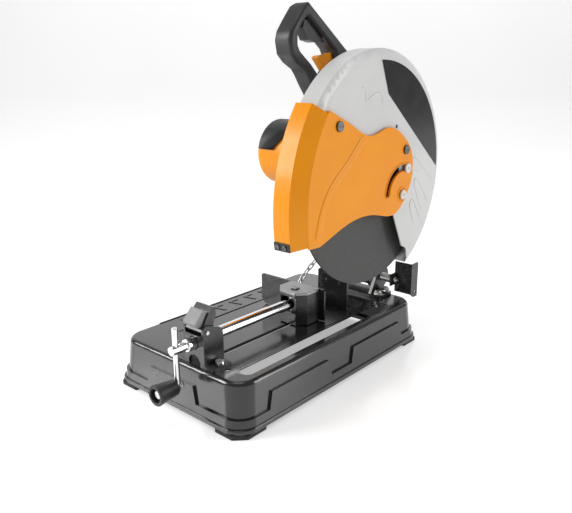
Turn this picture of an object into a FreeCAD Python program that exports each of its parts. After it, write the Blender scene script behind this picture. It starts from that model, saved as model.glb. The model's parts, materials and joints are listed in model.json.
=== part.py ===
"""Abrasive chop saw with a 355 mm disc, built from separate pieces.

Frame: origin on the floor under the middle of the base, +X to the operator's right (the disc
side), +Y to the hinge at the back, +Z up. All lengths are millimetres.
"""
import FreeCAD, Part

import math
import os

V = FreeCAD.Vector
X_AXIS = V(1, 0, 0)
Y_AXIS = V(0, 1, 0)
Z_AXIS = V(0, 0, 1)

# ---- driving dimensions -------------------------------------------------------------------
FOOT_HEIGHT = 6.0
BASE_LENGTH = 455.0
BASE_WIDTH = 278.0
TABLE_Z = 76.0
SHEET = 2.5

DISC_RADIUS = 177.5
DISC_THICKNESS = 3.2
DISC_X = 102.0
SPINDLE_Y = 108.7
SPINDLE_Z = 311.0

HINGE_Y = 212.0
HINGE_Z = 106.0

GEAR_MODULE = 1.25
SPINDLE_TEETH = 43
PINION_TEETH = 13
MOTOR_ANGLE = 136.0
MOTOR_RADIUS = 52.0
MOTOR_END_X = -80.0

GUARD_RADIUS = 191.0
GUARD_BACK_X = 84.0
GUARD_FACE_X = 121.5
GUARD_FIRST_ANGLE = -60.0
GUARD_LAST_ANGLE = 165.0

COVER_PIVOT_Y = 165.0
COVER_PIVOT_Z = 273.5
COVER_RIM_RADIUS = 266.5
COVER_INNER_X = 123.5
COVER_OUTER_X = 126.0

VISE_X = 35.0
VISE_Z = 110.0
VISE_SCREW_RADIUS = 9.0
JAW_FACE_Y = 31.0
JAW_PIN_Y = 1.0
FENCE_FACE_Y = 88.0

CRANK_Y = -243.0
CRANK_ROD_RADIUS = 4.0

CENTRE_DISTANCE = GEAR_MODULE * (SPINDLE_TEETH + PINION_TEETH) / 2.0
MOTOR_Y = SPINDLE_Y + CENTRE_DISTANCE * math.cos(math.radians(MOTOR_ANGLE))
MOTOR_Z = SPINDLE_Z + CENTRE_DISTANCE * math.sin(math.radians(MOTOR_ANGLE))
RUN_GAP = 0.05


# ---- solid helpers ------------------------------------------------------------------------
def box(x0, x1, y0, y1, z0, z1):
    """Block between two corners."""
    return Part.makeBox(x1 - x0, y1 - y0, z1 - z0, V(x0, y0, z0))


def rod_x(radius, y, z, x0, x1):
    """Cylinder along X."""
    return Part.makeCylinder(radius, x1 - x0, V(x0, y, z), X_AXIS)


def rod_y(radius, x, z, y0, y1):
    """Cylinder along Y."""
    return Part.makeCylinder(radius, y1 - y0, V(x, y0, z), Y_AXIS)


def rod_z(radius, x, y, z0, z1):
    """Cylinder along Z."""
    return Part.makeCylinder(radius, z1 - z0, V(x, y, z0), Z_AXIS)


def ring_x(outer, inner, y, z, x0, x1):
    """Tube along X."""
    return rod_x(outer, y, z, x0, x1).cut(rod_x(inner, y, z, x0 - 1, x1 + 1))


def plate_x(points, x0, x1, corner=0.0):
    """Plate with an outline of (y, z) points, from x0 to x1, corners rounded."""
    loop = [V(x0, y, z) for y, z in points]
    face = Part.Face(Part.makePolygon(loop + loop[:1]))
    return round_along(face.extrude(V(x1 - x0, 0, 0)), X_AXIS, corner)


def plate_y(points, y0, y1, corner=0.0):
    """Plate with an outline of (x, z) points, from y0 to y1, corners rounded."""
    loop = [V(x, y0, z) for x, z in points]
    face = Part.Face(Part.makePolygon(loop + loop[:1]))
    return round_along(face.extrude(V(0, y1 - y0, 0)), Y_AXIS, corner)


def plate_z(points, z0, z1, corner=0.0):
    """Plate with an outline of (x, y) points, from z0 to z1, corners rounded."""
    loop = [V(x, y, z0) for x, y in points]
    face = Part.Face(Part.makePolygon(loop + loop[:1]))
    return round_along(face.extrude(V(0, 0, z1 - z0)), Z_AXIS, corner)


def round_along(solid, axis, radius):
    """Round every edge that runs along an axis."""
    if radius <= 0:
        return solid
    edges = []
    for edge in solid.Edges:
        ends = [vertex.Point for vertex in edge.Vertexes]
        if len(ends) == 2 and (ends[1] - ends[0]).cross(axis).Length < 1e-6:
            edges.append(edge)
    return solid.makeFillet(radius, edges)


def soften(solid, radius, keep=None):
    """Round the edges that pass a test, or all of them."""
    edges = [edge for edge in solid.Edges if keep is None or keep(edge)]
    return solid.makeFillet(radius, edges)


def edge_level(edge, axis):
    """Lowest and highest place of an edge along one axis name."""
    bounds = edge.BoundBox
    return getattr(bounds, axis + "Min"), getattr(bounds, axis + "Max")


def at_level(axis, place, slack=0.01):
    """Test for edges that lie wholly at one place along an axis."""
    def test(edge):
        low, high = edge_level(edge, axis)
        return abs(low - place) < slack and abs(high - place) < slack
    return test


def rounded_rectangle(half_x, half_y, corner, z):
    """Closed wire with round corners, centred on the Z axis."""
    inner_x = half_x - corner
    inner_y = half_y - corner
    edges = []
    for start, cx, cy in ((0, inner_x, inner_y), (90, -inner_x, inner_y),
                          (180, -inner_x, -inner_y), (270, inner_x, -inner_y)):
        edges.append(Part.makeCircle(corner, V(cx, cy, z), Z_AXIS, start, start + 90))
    lines = []
    for index, arc in enumerate(edges):
        after = edges[(index + 1) % 4]
        lines.append(Part.makeLine(arc.valueAt(arc.LastParameter), after.valueAt(after.FirstParameter)))
    ordered = []
    for arc, line in zip(edges, lines):
        ordered += [arc, line]
    return Part.Wire(ordered)


def hex_prism(flat, place, direction, length):
    """Hexagon bar across-flats wide, from a point along a direction."""
    radius = flat / math.sqrt(3)
    points = []
    for index in range(7):
        angle = math.radians(60 * index)
        points.append(V(radius * math.cos(angle), radius * math.sin(angle), 0))
    bar = Part.Face(Part.makePolygon(points)).extrude(V(0, 0, length))
    return aim(bar, place, direction)


def aim(solid, place, direction):
    """Turn a solid built along +Z to a direction and move it to a place."""
    turned = solid.copy()
    turned.Placement = FreeCAD.Placement(place, FreeCAD.Rotation(Z_AXIS, direction)).multiply(solid.Placement)
    return turned


def hex_bolt(radius, place, direction, length, flat, head=None, washer=0.0):
    """Hexagon bolt: the place is under the head, and the shank goes along direction."""
    head = head or radius * 1.3
    shank = Part.makeCylinder(radius, length)
    top = hex_prism(flat, V(0, 0, -head - washer), Z_AXIS, head)
    cap = Part.makeCone(flat * 0.45, flat * 0.62, head, V(0, 0, -head - washer))
    bolt = shank.fuse(top.common(cap))
    if washer > 0:
        bolt = bolt.fuse(Part.makeCylinder(flat * 0.68, washer, V(0, 0, -washer)))
    return aim(bolt, place, direction)


def socket_screw(radius, place, direction, length, head_radius, head, socket=None):
    """Round-headed screw with a hexagon socket: the place is under the head."""
    shank = Part.makeCylinder(radius, length)
    top = Part.makeCylinder(head_radius, head, V(0, 0, -head))
    top = soften(top, head * 0.3, at_level("Z", -head))
    socket = socket or head_radius * 0.95
    recess = hex_prism(socket, V(0, 0, -head - 0.1), Z_AXIS, head * 0.6)
    return aim(shank.fuse(top).cut(recess), place, direction)


def polar(centre_y, centre_z, radius, angle):
    """Point (y, z) at an angle from +Y towards +Z."""
    turn = math.radians(angle)
    return centre_y + radius * math.cos(turn), centre_z + radius * math.sin(turn)


def arc_points(centre_y, centre_z, radius, first, last, count):
    """Points along an arc, both ends included."""
    step = (last - first) / (count - 1)
    return [polar(centre_y, centre_z, radius, first + step * index) for index in range(count)]


def sector(radius_in, radius_out, centre_y, centre_z, x0, x1, first, last):
    """Part of a tube along X between two angles from +Y towards +Z."""
    whole = Part.makeCylinder(radius_out, x1 - x0, V(x0, centre_y, centre_z), X_AXIS, last - first)
    whole.rotate(V(x0, centre_y, centre_z), X_AXIS, first - 90)
    return whole.cut(rod_x(radius_in, centre_y, centre_z, x0 - 1, x1 + 1))


NODES = {}


def keep(name, *solids):
    """Store a node made of one or more separate solids."""
    NODES[name] = Part.makeCompound(list(solids)) if len(solids) > 1 else solids[0]


# ---- base ---------------------------------------------------------------------------------
SLOT_FIRST_Y = -187.0
SLOT_LAST_Y = 157.0
SLOT_WIDTH = 22.0
GUIDE_SLOT_WIDTH = 9.0
GUIDE_SLOT_FIRST_Y = -165.0
GUIDE_SLOT_LAST_Y = 60.0
FOOT_X = 112.0
FOOT_Y = 206.0
LEDGE_Z = 50.0
LOW_LEDGE_Z = 25.0


def pan_volume(inset):
    """Stepped body of the pressed base, with every face moved inwards by the inset."""
    top = TABLE_Z - inset
    low = FOOT_HEIGHT + 6.0 - (inset > 0) * 10.0
    half_x = BASE_WIDTH / 2 - inset
    half_y = BASE_LENGTH / 2 - inset
    wall = Part.makeLoft([rounded_rectangle(half_x - 5.5, half_y - 5.5, 29, low),
                          rounded_rectangle(half_x - 9.6, half_y - 9.6, 32, top)], True, True)
    if inset == 0:
        wall = soften(wall, 7.0, at_level("Z", top))
    skirt = Part.makeLoft([rounded_rectangle(half_x - 2.0, half_y - 2.0, 31, low),
                           rounded_rectangle(half_x - 6.1, half_y - 6.1, 34, top)], True, True)
    wide = 200.0
    long = 300.0
    raised = [box(-wide, wide, -long, long, low, LOW_LEDGE_Z - inset)]
    for first, last in ((-174, -24), (14, 174)):
        raised.append(plate_x([(first + inset, 0), (last - inset, 0), (last - inset - 13, LEDGE_Z - inset),
                               (first + inset + 13, LEDGE_Z - inset)], -wide, wide))
    raised.append(plate_y([(-68 + inset, 0), (54 - inset, 0), (41 - inset, LEDGE_Z - inset),
                           (-55 + inset, LEDGE_Z - inset)], -long, long))
    return wall.fuse(skirt.common(raised[0].multiFuse(raised[1:])))


def slot_z(x, width, first_y, last_y, z0, z1):
    """Round-ended slot cutter along Y."""
    half = width / 2
    cutter = box(x - half, x + half, first_y + half, last_y - half, z0, z1)
    cutter = cutter.fuse(rod_z(half, x, first_y + half, z0, z1))
    return cutter.fuse(rod_z(half, x, last_y - half, z0, z1))


def base_bolt_places():
    """Bench bolt holes through the bottom flange, at the four corners of the base."""
    return [(sx * 96.0, sy * 190.0) for sx in (-1, 1) for sy in (-1, 1)]


def foot_screw_places():
    """Screws that hold the rubber feet, one at each corner of the base."""
    return [(sx * FOOT_X, sy * FOOT_Y) for sx in (-1, 1) for sy in (-1, 1)]


def base_pan():
    """Pressed steel base: a stepped pan, open below, with a turned-in flange at the floor."""
    pan = pan_volume(0.0).cut(pan_volume(SHEET))
    outside = Part.Face(rounded_rectangle(BASE_WIDTH / 2, BASE_LENGTH / 2, 30, FOOT_HEIGHT))
    outside = outside.extrude(V(0, 0, 7))
    outside = soften(outside, 1.5, at_level("Z", FOOT_HEIGHT + 7))
    opening = Part.Face(rounded_rectangle(BASE_WIDTH / 2 - 11, BASE_LENGTH / 2 - 11, 24, 0)).extrude(V(0, 0, 30))
    pan = pan.fuse(outside.cut(opening))
    for sx in (-1, 1):
        for sy in (-1, 1):
            gusset = box(84, 129, 176, 217, FOOT_HEIGHT, FOOT_HEIGHT + SHEET)
            gusset = gusset.mirror(V(0, 0, 0), X_AXIS) if sx < 0 else gusset
            gusset = gusset.mirror(V(0, 0, 0), Y_AXIS) if sy < 0 else gusset
            pan = pan.fuse(gusset)
    pan = pan.fuse(box(VISE_X - 14, VISE_X + 14, GUIDE_SLOT_FIRST_Y - 6, GUIDE_SLOT_LAST_Y + 6,
                       TABLE_Z - 5, TABLE_Z - 1))
    pan = pan.cut(slot_z(DISC_X, SLOT_WIDTH, SLOT_FIRST_Y, SLOT_LAST_Y, 40, 90))
    pan = pan.cut(slot_z(DISC_X, SLOT_WIDTH + 8, SLOT_FIRST_Y - 4, SLOT_LAST_Y + 4, TABLE_Z - 0.8, 90))
    pan = pan.cut(slot_z(VISE_X, GUIDE_SLOT_WIDTH, GUIDE_SLOT_FIRST_Y, GUIDE_SLOT_LAST_Y, 40, 90))
    for x, y in base_bolt_places():
        pan = pan.cut(rod_z(4.5, x, y, 0, 20))
    for x, y in foot_screw_places():
        pan = pan.cut(rod_z(2.0, x, y, 0, 20))
    for x, y, radius in table_holes():
        pan = pan.cut(rod_z(radius, x, y, 50, 90))
    for index in range(6):
        pan = pan.fuse(table_rib(-118.0 + 36.0 * index))
    for x0, x1 in ((-126.0, -122.5), (-78.0, -75.0)):
        pan = pan.fuse(soften(box(x0, x1, -150, 120, TABLE_Z - 1, TABLE_Z + 1.2), 1.0, at_level("Z", TABLE_Z + 1.2)))
    return pan.removeSplitter()


def table_rib(y):
    """One raised stiffening mark on the left of the table: a short L."""
    outline = [(-112, y), (-88, y + 6), (-88, y + 9), (-109, y + 4), (-109, y + 20), (-112, y + 20)]
    return plate_z(outline, TABLE_Z - 1, TABLE_Z + 1.0)


HINGE_BOLTS = [(-43, 182), (-43, 206), (75, 182), (75, 206)]
VISE_BOLTS = [(VISE_X + 29.5, -192), (VISE_X - 29.5, -192)]
FENCE_BOLTS = [(43, 110), (16, 118)]
STOP_BOLT = (-2, 163)
STOP_TOP = 110.3
CHAIN_EYE = (-16, 62)


def table_holes():
    """Holes through the table for the bolts that hold pieces on it: x, y, radius."""
    holes = [(x, y, 4.1) for x, y in HINGE_BOLTS + VISE_BOLTS + FENCE_BOLTS]
    holes.append(STOP_BOLT + (4.1,))
    holes.append(CHAIN_EYE + (2.6,))
    holes.append((80, -192, 4.0))
    return holes


def rubber_feet():
    """Four rubber feet, one under each corner of the flange, each with a fixing screw hole."""
    feet = []
    for sx in (-1, 1):
        for sy in (-1, 1):
            outline = [(88, 176), (138, 176), (138, 212), (122, 228), (88, 228)]
            points = [(sx * x, sy * y) for x, y in outline]
            foot = plate_z(points, 0, FOOT_HEIGHT, 3.0)
            foot = soften(foot, 1.2, at_level("Z", 0.0))
            foot = foot.cut(rod_z(4.5, sx * 96, sy * 190, -1, 10))
            foot = foot.cut(rod_z(2.1, sx * FOOT_X, sy * FOOT_Y, -1, 10))
            foot = foot.cut(rod_z(4.6, sx * FOOT_X, sy * FOOT_Y, -1, 2.6))
            feet.append(foot)
    return feet


def foot_screws():
    """Screws that hold the rubber feet under the flange gussets."""
    return [socket_screw(2.0, V(x, y, 2.6), Z_AXIS, 8.0, 4.2, 1.8) for x, y in foot_screw_places()]


# ---- vise ---------------------------------------------------------------------------------
BRACKET_FRONT_Y = -212.0
BRACKET_BACK_Y = -176.0
BRACKET_HALF_WIDTH = 21.0
LEVER_PIN_Y = -205.0
LEVER_PIN_Z = 128.0


def vise_bracket():
    """Bent steel vise bracket: a front web with the screw hole, two side plates and two feet."""
    x0 = VISE_X - BRACKET_HALF_WIDTH
    x1 = VISE_X + BRACKET_HALF_WIDTH
    web = box(x0, x1, BRACKET_FRONT_Y, BRACKET_FRONT_Y + 4, TABLE_Z, 122)
    web = web.cut(rod_y(VISE_SCREW_RADIUS + 0.8, VISE_X, VISE_Z, -220, -200))
    web = web.cut(box(VISE_X - 12, VISE_X + 12, -220, -200, 60, 80)).cut(rod_y(12, VISE_X, 80, -220, -200))
    pieces = [web]
    side = [(BRACKET_FRONT_Y, TABLE_Z), (BRACKET_BACK_Y, TABLE_Z), (BRACKET_BACK_Y, 124),
            (BRACKET_BACK_Y - 6, 130), (BRACKET_FRONT_Y + 5, 138), (BRACKET_FRONT_Y, 133)]
    for inner, outer, foot in ((x0 + 4, x0, x0 - 17), (x1 - 4, x1, x1 + 17)):
        pieces.append(plate_x(side, min(inner, outer), max(inner, outer)))
        base = box(min(inner, foot), max(inner, foot), BRACKET_FRONT_Y, BRACKET_BACK_Y, TABLE_Z, TABLE_Z + 4)
        corner_x = max(foot, outer) if foot > outer else foot
        base = soften(base, 4.0, lambda edge, x=corner_x: at_level("X", x)(edge) and edge.BoundBox.ZLength > 3)
        pieces.append(base)
    bracket = pieces[0].multiFuse(pieces[1:])
    for x, y in VISE_BOLTS:
        bracket = bracket.cut(rod_z(4.1, x, y, 70, 90))
    return bracket.cut(rod_x(3.0, LEVER_PIN_Y, LEVER_PIN_Z, x0 - 1, x1 + 1)).removeSplitter()


def lever_pin():
    """Pin of the release lever, through both side plates of the bracket."""
    reach = BRACKET_HALF_WIDTH + 2
    pin = rod_x(3.0, LEVER_PIN_Y, LEVER_PIN_Z, VISE_X - reach, VISE_X + reach)
    return soften(pin, 0.8)


def release_lever():
    """Quick-release lever: pulling its top forward lifts the half nut off the screw."""
    half = BRACKET_HALF_WIDTH - 4.6
    outline = [(-212, 129), (-204, 121), (-200, 115), (-184, 115), (-183, 127), (-190, 134), (-184, 148),
               (-184, 158), (-190, 160), (-196, 154), (-206, 138)]
    lever = plate_x(outline, VISE_X - half, VISE_X + half, 1.2)
    lever = lever.cut(rod_y(VISE_SCREW_RADIUS + 0.8, VISE_X, VISE_Z, -220, -170))
    lever = lever.cut(rod_x(3.0 + RUN_GAP, LEVER_PIN_Y, LEVER_PIN_Z, 0, 70))
    return lever.cut(half_nut_block())


def half_nut_block():
    """Space of the half nut, over the top of the screw."""
    return box(VISE_X - 10, VISE_X + 10, -198, -186, 112, 123)


def half_nut():
    """Bronze half nut let into the underside of the lever."""
    return half_nut_block().cut(rod_y(VISE_SCREW_RADIUS + 0.3, VISE_X, VISE_Z, -220, -170))


def lever_grip():
    """Grey moulded pad on the front of the lever."""
    outline = [(-203, 136), (-193, 152), (-203, 158), (-219, 141), (-215, 135)]
    return plate_x(outline, VISE_X - 13, VISE_X + 13, 1.5).cut(release_lever())


def vise_screw():
    """Steel vise screw: a journal at the jaw end, and an eye for the crank rod in front."""
    screw = rod_y(VISE_SCREW_RADIUS, VISE_X, VISE_Z, -226, JAW_PIN_Y - 12.6)
    screw = soften(screw, 1.0)
    boss = soften(rod_y(6.5, VISE_X, VISE_Z, -251, -226), 0.8)
    screw = screw.fuse(boss).fuse(rod_y(6.0, VISE_X, VISE_Z, -20, JAW_PIN_Y + 15))
    screw = screw.fuse(rod_y(7.5, VISE_X, VISE_Z, JAW_PIN_Y + 12.6, JAW_PIN_Y + 15))
    return screw.cut(rod_z(CRANK_ROD_RADIUS, VISE_X, CRANK_Y, 90, 130)).removeSplitter()


def crank_rod():
    """Bright rod pressed through the eye of the screw, bored near its lower end."""
    rod = rod_z(CRANK_ROD_RADIUS, VISE_X, CRANK_Y, 50, 142)
    rod = soften(rod, 1.2, lambda edge: at_level("Z", 50)(edge) or at_level("Z", 142)(edge))
    return rod.cut(rod_y(2.5, VISE_X, 57, -250, -230))


def crank_knob_bolt():
    """Shoulder bolt that carries the crank knob on the rod."""
    bolt = rod_y(2.5, VISE_X, 57, -277, -236)
    head = soften(rod_y(6.0, VISE_X, 57, -277, -273.05), 0.8)
    nut = hex_prism(8.0, V(VISE_X, -239, 57), Y_AXIS, 3.5)
    return bolt.fuse(head).fuse(nut)


def crank_knob():
    """Tapered black knob with an open outer end."""
    knob = Part.makeCone(15.0, 11.0, 33.5, V(VISE_X, -281, 57), Y_AXIS)
    knob = soften(knob, 1.5)
    knob = knob.cut(rod_y(10.0, VISE_X, 57, -282, -273))
    return knob.cut(rod_y(2.5 + RUN_GAP, VISE_X, 57, -290, -240))


def swivel_barrel():
    """Round barrel on the end of the screw; the jaw turns on it."""
    barrel = soften(rod_z(12.0, VISE_X, JAW_PIN_Y, 92, 126), 0.8)
    barrel = barrel.cut(rod_y(6.0 + RUN_GAP, VISE_X, VISE_Z, -20, 20))
    barrel = barrel.cut(rod_z(4.0 + RUN_GAP, VISE_X, JAW_PIN_Y, 118, 130))
    return barrel.cut(rod_z(3.0, VISE_X, JAW_PIN_Y, 90, 101))


def guide_bolt():
    """Shouldered bolt under the barrel; its head keeps the jaw down over the table slot."""
    head = soften(rod_z(8.5, VISE_X, JAW_PIN_Y, 64, 69), 0.8)
    stem = rod_z(GUIDE_SLOT_WIDTH / 2 - 0.4, VISE_X, JAW_PIN_Y, 69, 92)
    return head.fuse(stem).fuse(rod_z(3.0, VISE_X, JAW_PIN_Y, 92, 100)).removeSplitter()


JAW_TOP = 131.0
JAW_LEFT_X = -66.0
JAW_RIGHT_X = 74.0
JAW_PLATE_THICKNESS = 4.0


def jaw_body():
    """Folded steel jaw body: half an octagon around the barrel, open below."""
    back = JAW_FACE_Y - JAW_PLATE_THICKNESS
    outer = [(-29, back), (-29, -3), (-16, -17), (16, -17), (29, -3), (29, back)]
    inner = [(-25.5, back + 1), (-25.5, -1.5), (-14.5, -13.5), (14.5, -13.5), (25.5, -1.5), (25.5, back + 1)]
    shell = plate_z([(VISE_X + x, y) for x, y in outer], 77.5, 128.0)
    hollow = plate_z([(VISE_X + x, y) for x, y in inner], 70, 129)
    body = shell.cut(hollow)
    return body.cut(box(VISE_X - 17, VISE_X + 17, -20, -6, 97, 123))


def jaw_cap():
    """Plated steel cap on top of the jaw body; the jaw pin goes through it."""
    back = JAW_FACE_Y - JAW_PLATE_THICKNESS
    outline = [(-30, back), (-30, -3), (-16.5, -18), (16.5, -18), (30, -3), (30, back)]
    cap = plate_z([(VISE_X + x, y) for x, y in outline], 128, 132.5, 4.0)
    return cap.cut(rod_z(4.0, VISE_X, JAW_PIN_Y, 120, 140))


def jaw_pin():
    """Slotted pin through the cap into the barrel."""
    pin = rod_z(4.0, VISE_X, JAW_PIN_Y, 119, 134).fuse(rod_z(7.0, VISE_X, JAW_PIN_Y, 132.5, 134.5))
    return pin.cut(box(VISE_X - 8, VISE_X + 8, JAW_PIN_Y - 0.8, JAW_PIN_Y + 0.8, 133.5, 136))


def jaw_plate():
    """Flat pressing plate, with its ends turned slightly back from the work."""
    y0 = JAW_FACE_Y - JAW_PLATE_THICKNESS
    outline = [(JAW_LEFT_X, 86), (JAW_LEFT_X + 8, 77.5), (JAW_RIGHT_X, 77.5), (JAW_RIGHT_X, JAW_TOP - 3),
               (JAW_RIGHT_X - 3, JAW_TOP), (JAW_LEFT_X + 3, JAW_TOP), (JAW_LEFT_X, JAW_TOP - 3)]
    return plate_y(outline, y0, JAW_FACE_Y, 1.2)


# ---- fence, stop bolt, chain and spark deflector ------------------------------------------
FENCE_LEFT_X = 12.0
FENCE_RIGHT_X = 74.0
FENCE_TOP = 142.0
FENCE_FOOT_BACK = 134.0


def fence():
    """Angle fence: an upright face, a foot with an arc slot, and two bored holes in the face."""
    face = plate_y([(FENCE_LEFT_X, TABLE_Z), (FENCE_RIGHT_X, TABLE_Z), (FENCE_RIGHT_X, FENCE_TOP),
                    (FENCE_LEFT_X, FENCE_TOP)], FENCE_FACE_Y, FENCE_FACE_Y + 5)
    face = soften(face, 4.0, lambda edge: edge.BoundBox.YLength > 4 and edge.BoundBox.ZMin > FENCE_TOP - 1)
    foot = box(FENCE_LEFT_X - 8, FENCE_RIGHT_X, FENCE_FACE_Y, FENCE_FOOT_BACK, TABLE_Z, TABLE_Z + 5)
    piece = face.fuse(foot)
    piece = soften(piece, 3.5, lambda edge: at_level("Y", FENCE_FACE_Y + 5)(edge) and at_level("Z", TABLE_Z + 5)(edge))
    pivot_x, pivot_y = FENCE_BOLTS[0]
    piece = piece.cut(rod_z(4.0 + RUN_GAP, pivot_x, pivot_y, 70, 90))
    slot_x, slot_y = FENCE_BOLTS[1]
    reach = math.hypot(slot_x - pivot_x, slot_y - pivot_y)
    slot = rod_z(reach + 4.3, pivot_x, pivot_y, 70, 90).cut(rod_z(reach - 4.3, pivot_x, pivot_y, 69, 91))
    here = math.degrees(math.atan2(slot_y - pivot_y, slot_x - pivot_x))
    wedge = Part.makeCylinder(60, 20, V(pivot_x, pivot_y, 70), Z_AXIS, FENCE_SWING + 1)
    wedge.rotate(V(pivot_x, pivot_y, 70), Z_AXIS, here - 0.5 - FENCE_SWING / 2)
    slot = slot.common(wedge)
    for end in (-1, 1):
        turn = math.radians(here + end * (FENCE_SWING + 1) / 2)
        slot = slot.fuse(rod_z(4.3, pivot_x + reach * math.cos(turn), pivot_y + reach * math.sin(turn), 70, 90))
    piece = piece.cut(slot)
    for x in (28, 58):
        piece = piece.cut(rod_y(3.2, x, 124, FENCE_FACE_Y - 1, FENCE_FACE_Y + 6))
    return piece.removeSplitter()


FENCE_SWING = 30.0


def stop_bolt():
    """Depth stop: an upright bolt and lock nut on the table in front of the hinge."""
    x, y = STOP_BOLT
    stem = soften(rod_z(4.0, x, y, 64, STOP_TOP - 5), 0.6)
    nuts = [hex_prism(13, V(x, y, z), Z_AXIS, 6.0) for z in (TABLE_Z, TABLE_Z - SHEET - 6.1)]
    head = hex_prism(13, V(x, y, STOP_TOP - 5), Z_AXIS, 5.0)
    return stem.fuse(head).multiFuse(nuts).removeSplitter()


def chain_eye():
    """Eye bolt on the table for the hold-down chain."""
    x, y = CHAIN_EYE
    stem = rod_z(2.5, x, y, 66, 82)
    collar = rod_z(5.0, x, y, TABLE_Z, TABLE_Z + 2)
    loop = Part.makeTorus(5.0, 1.7, V(x, y, 87), Y_AXIS)
    return stem.multiFuse([collar, loop]).removeSplitter()


CHAIN_LUG_X = 14.0
CHAIN_LUG_Y = 136.5
CHAIN_LUG_Z = 191.0
CHAIN_LINKS = 12
LINK_WIRE = 1.15
LINK_HALF_WIDTH = 3.4


def chain_path():
    """Joints of the chain links: a hanging curve from the table eye up to the lug on the arm."""
    x, y = CHAIN_EYE
    curve = Part.BezierCurve()
    curve.setPoles([V(x, y, 90.2), V(-14, 52, 118), V(0, 90, 146),
                    V(CHAIN_LUG_X, CHAIN_LUG_Y - 0.8, CHAIN_LUG_Z - 1.0)])
    wire = Part.Wire(curve.toShape())
    return wire.discretize(CHAIN_LINKS + 1)


def hold_chain():
    """Hold-down chain: welded links, every other one turned by a quarter."""
    places = chain_path()
    links = []
    for index in range(CHAIN_LINKS):
        along = places[index + 1] - places[index]
        centre = (places[index] + places[index + 1]) * 0.5
        links.append(chain_link(centre, along, 90.0 * ((index + 1) % 2)))
    return links


def chain_link(centre, along, roll):
    """One oval link of round wire, long enough to hang loosely in the next one."""
    half_length = along.Length / 2 + LINK_WIRE + 0.25 - LINK_HALF_WIDTH
    pieces = []
    for side in (-1, 1):
        leg = Part.makeCylinder(LINK_WIRE, 2 * half_length, V(side * LINK_HALF_WIDTH, 0, -half_length))
        bend = Part.makeTorus(LINK_HALF_WIDTH, LINK_WIRE, V(0, 0, 0), Y_AXIS)
        bend = bend.common(box(-9, 9, -9, 9, 0, 9))
        bend.rotate(V(0, 0, 0), Y_AXIS, 0 if side > 0 else 180)
        bend.translate(V(0, 0, side * half_length))
        pieces += [leg, bend]
    link = pieces[0].multiFuse(pieces[1:]).removeSplitter()
    link.rotate(V(0, 0, 0), Z_AXIS, roll)
    return aim(link, centre, along)


DEFLECTOR_X0 = 86.0
DEFLECTOR_X1 = 121.0


def spark_deflector():
    """Bent black plate behind the disc: front wall, side flange and a tab on the hinge stud."""
    front = box(DEFLECTOR_X0, DEFLECTOR_X1, 219, 221.5, 81, 138)
    side = plate_x([(219, 81), (229, 74), (241, 74), (241, 138), (219, 138)], DEFLECTOR_X1 - 2.5, DEFLECTOR_X1)
    side = side.cut(rod_x(3.0, 235, 84, 100, 140))
    tab = box(DEFLECTOR_X0, DEFLECTOR_X0 + 2.5, 202, 221, 95, 117)
    plate = front.multiFuse([side, tab])
    return plate.cut(rod_x(3.0 + RUN_GAP, HINGE_Y, HINGE_Z, 80, 100)).removeSplitter()


# ---- hinge --------------------------------------------------------------------------------
EAR_LEFT_X = -32.0
EAR_RIGHT_X = 58.0
EAR_THICKNESS = 6.0
HUB_RADIUS = 19.0
SHAFT_RADIUS = 8.0


def hinge_bracket():
    """Steel bracket on the back of the table: a foot with two ears for the hinge shaft."""
    foot = box(EAR_LEFT_X - 20, EAR_RIGHT_X + EAR_THICKNESS + 20, 172, 216, TABLE_Z, TABLE_Z + 5)
    foot = round_along(foot, Z_AXIS, 5.0)
    pieces = [foot]
    for x in (EAR_LEFT_X, EAR_RIGHT_X):
        outline = [(176, TABLE_Z + 5), (193, HINGE_Z + 6), (230, HINGE_Z + 6), (230, HINGE_Z - 5),
                   (216, TABLE_Z + 5)]
        ear = plate_x(outline, x, x + EAR_THICKNESS)
        pieces.append(ear.fuse(rod_x(20.0, HINGE_Y, HINGE_Z, x, x + EAR_THICKNESS)))
    bracket = pieces[0].multiFuse(pieces[1:])
    bracket = bracket.cut(rod_x(SHAFT_RADIUS, HINGE_Y, HINGE_Z, -60, 100))
    for x, y in HINGE_BOLTS:
        bracket = bracket.cut(rod_z(4.1, x, y, 70, 90))
    return bracket.removeSplitter()


def table_bolts(places, under_head, washer):
    """Hexagon bolts down through the table, each with a nut below the sheet."""
    bolts = []
    for x, y in places:
        bolts.append(hex_bolt(4.0, V(x, y, under_head + washer), V(0, 0, -1), 24, 13, washer=washer))
        nut = hex_prism(13, V(x, y, TABLE_Z - SHEET - 6.6), Z_AXIS, 6.5)
        bolts.append(nut.cut(rod_z(4.0, x, y, 60, 80)))
    return bolts


def hinge_shaft():
    """Hinge shaft with a head on the left, a nut on the right and a thinner stud beyond it."""
    shaft = rod_x(SHAFT_RADIUS, HINGE_Y, HINGE_Z, EAR_LEFT_X - 4, 85.5)
    head = hex_prism(24, V(EAR_LEFT_X - 10, HINGE_Y, HINGE_Z), X_AXIS, 9.9)
    stud = rod_x(3.0, HINGE_Y, HINGE_Z, 85, 97)
    nut = hex_prism(10, V(88.6, HINGE_Y, HINGE_Z), X_AXIS, 5.5)
    return shaft.multiFuse([head, stud, nut]).removeSplitter()


SPRING_WIRE = 1.6
SPRING_RADIUS = HUB_RADIUS + SPRING_WIRE + 0.6
SPRING_PITCH = 3.5
SPRING_FIRST_X = 44.2


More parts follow.
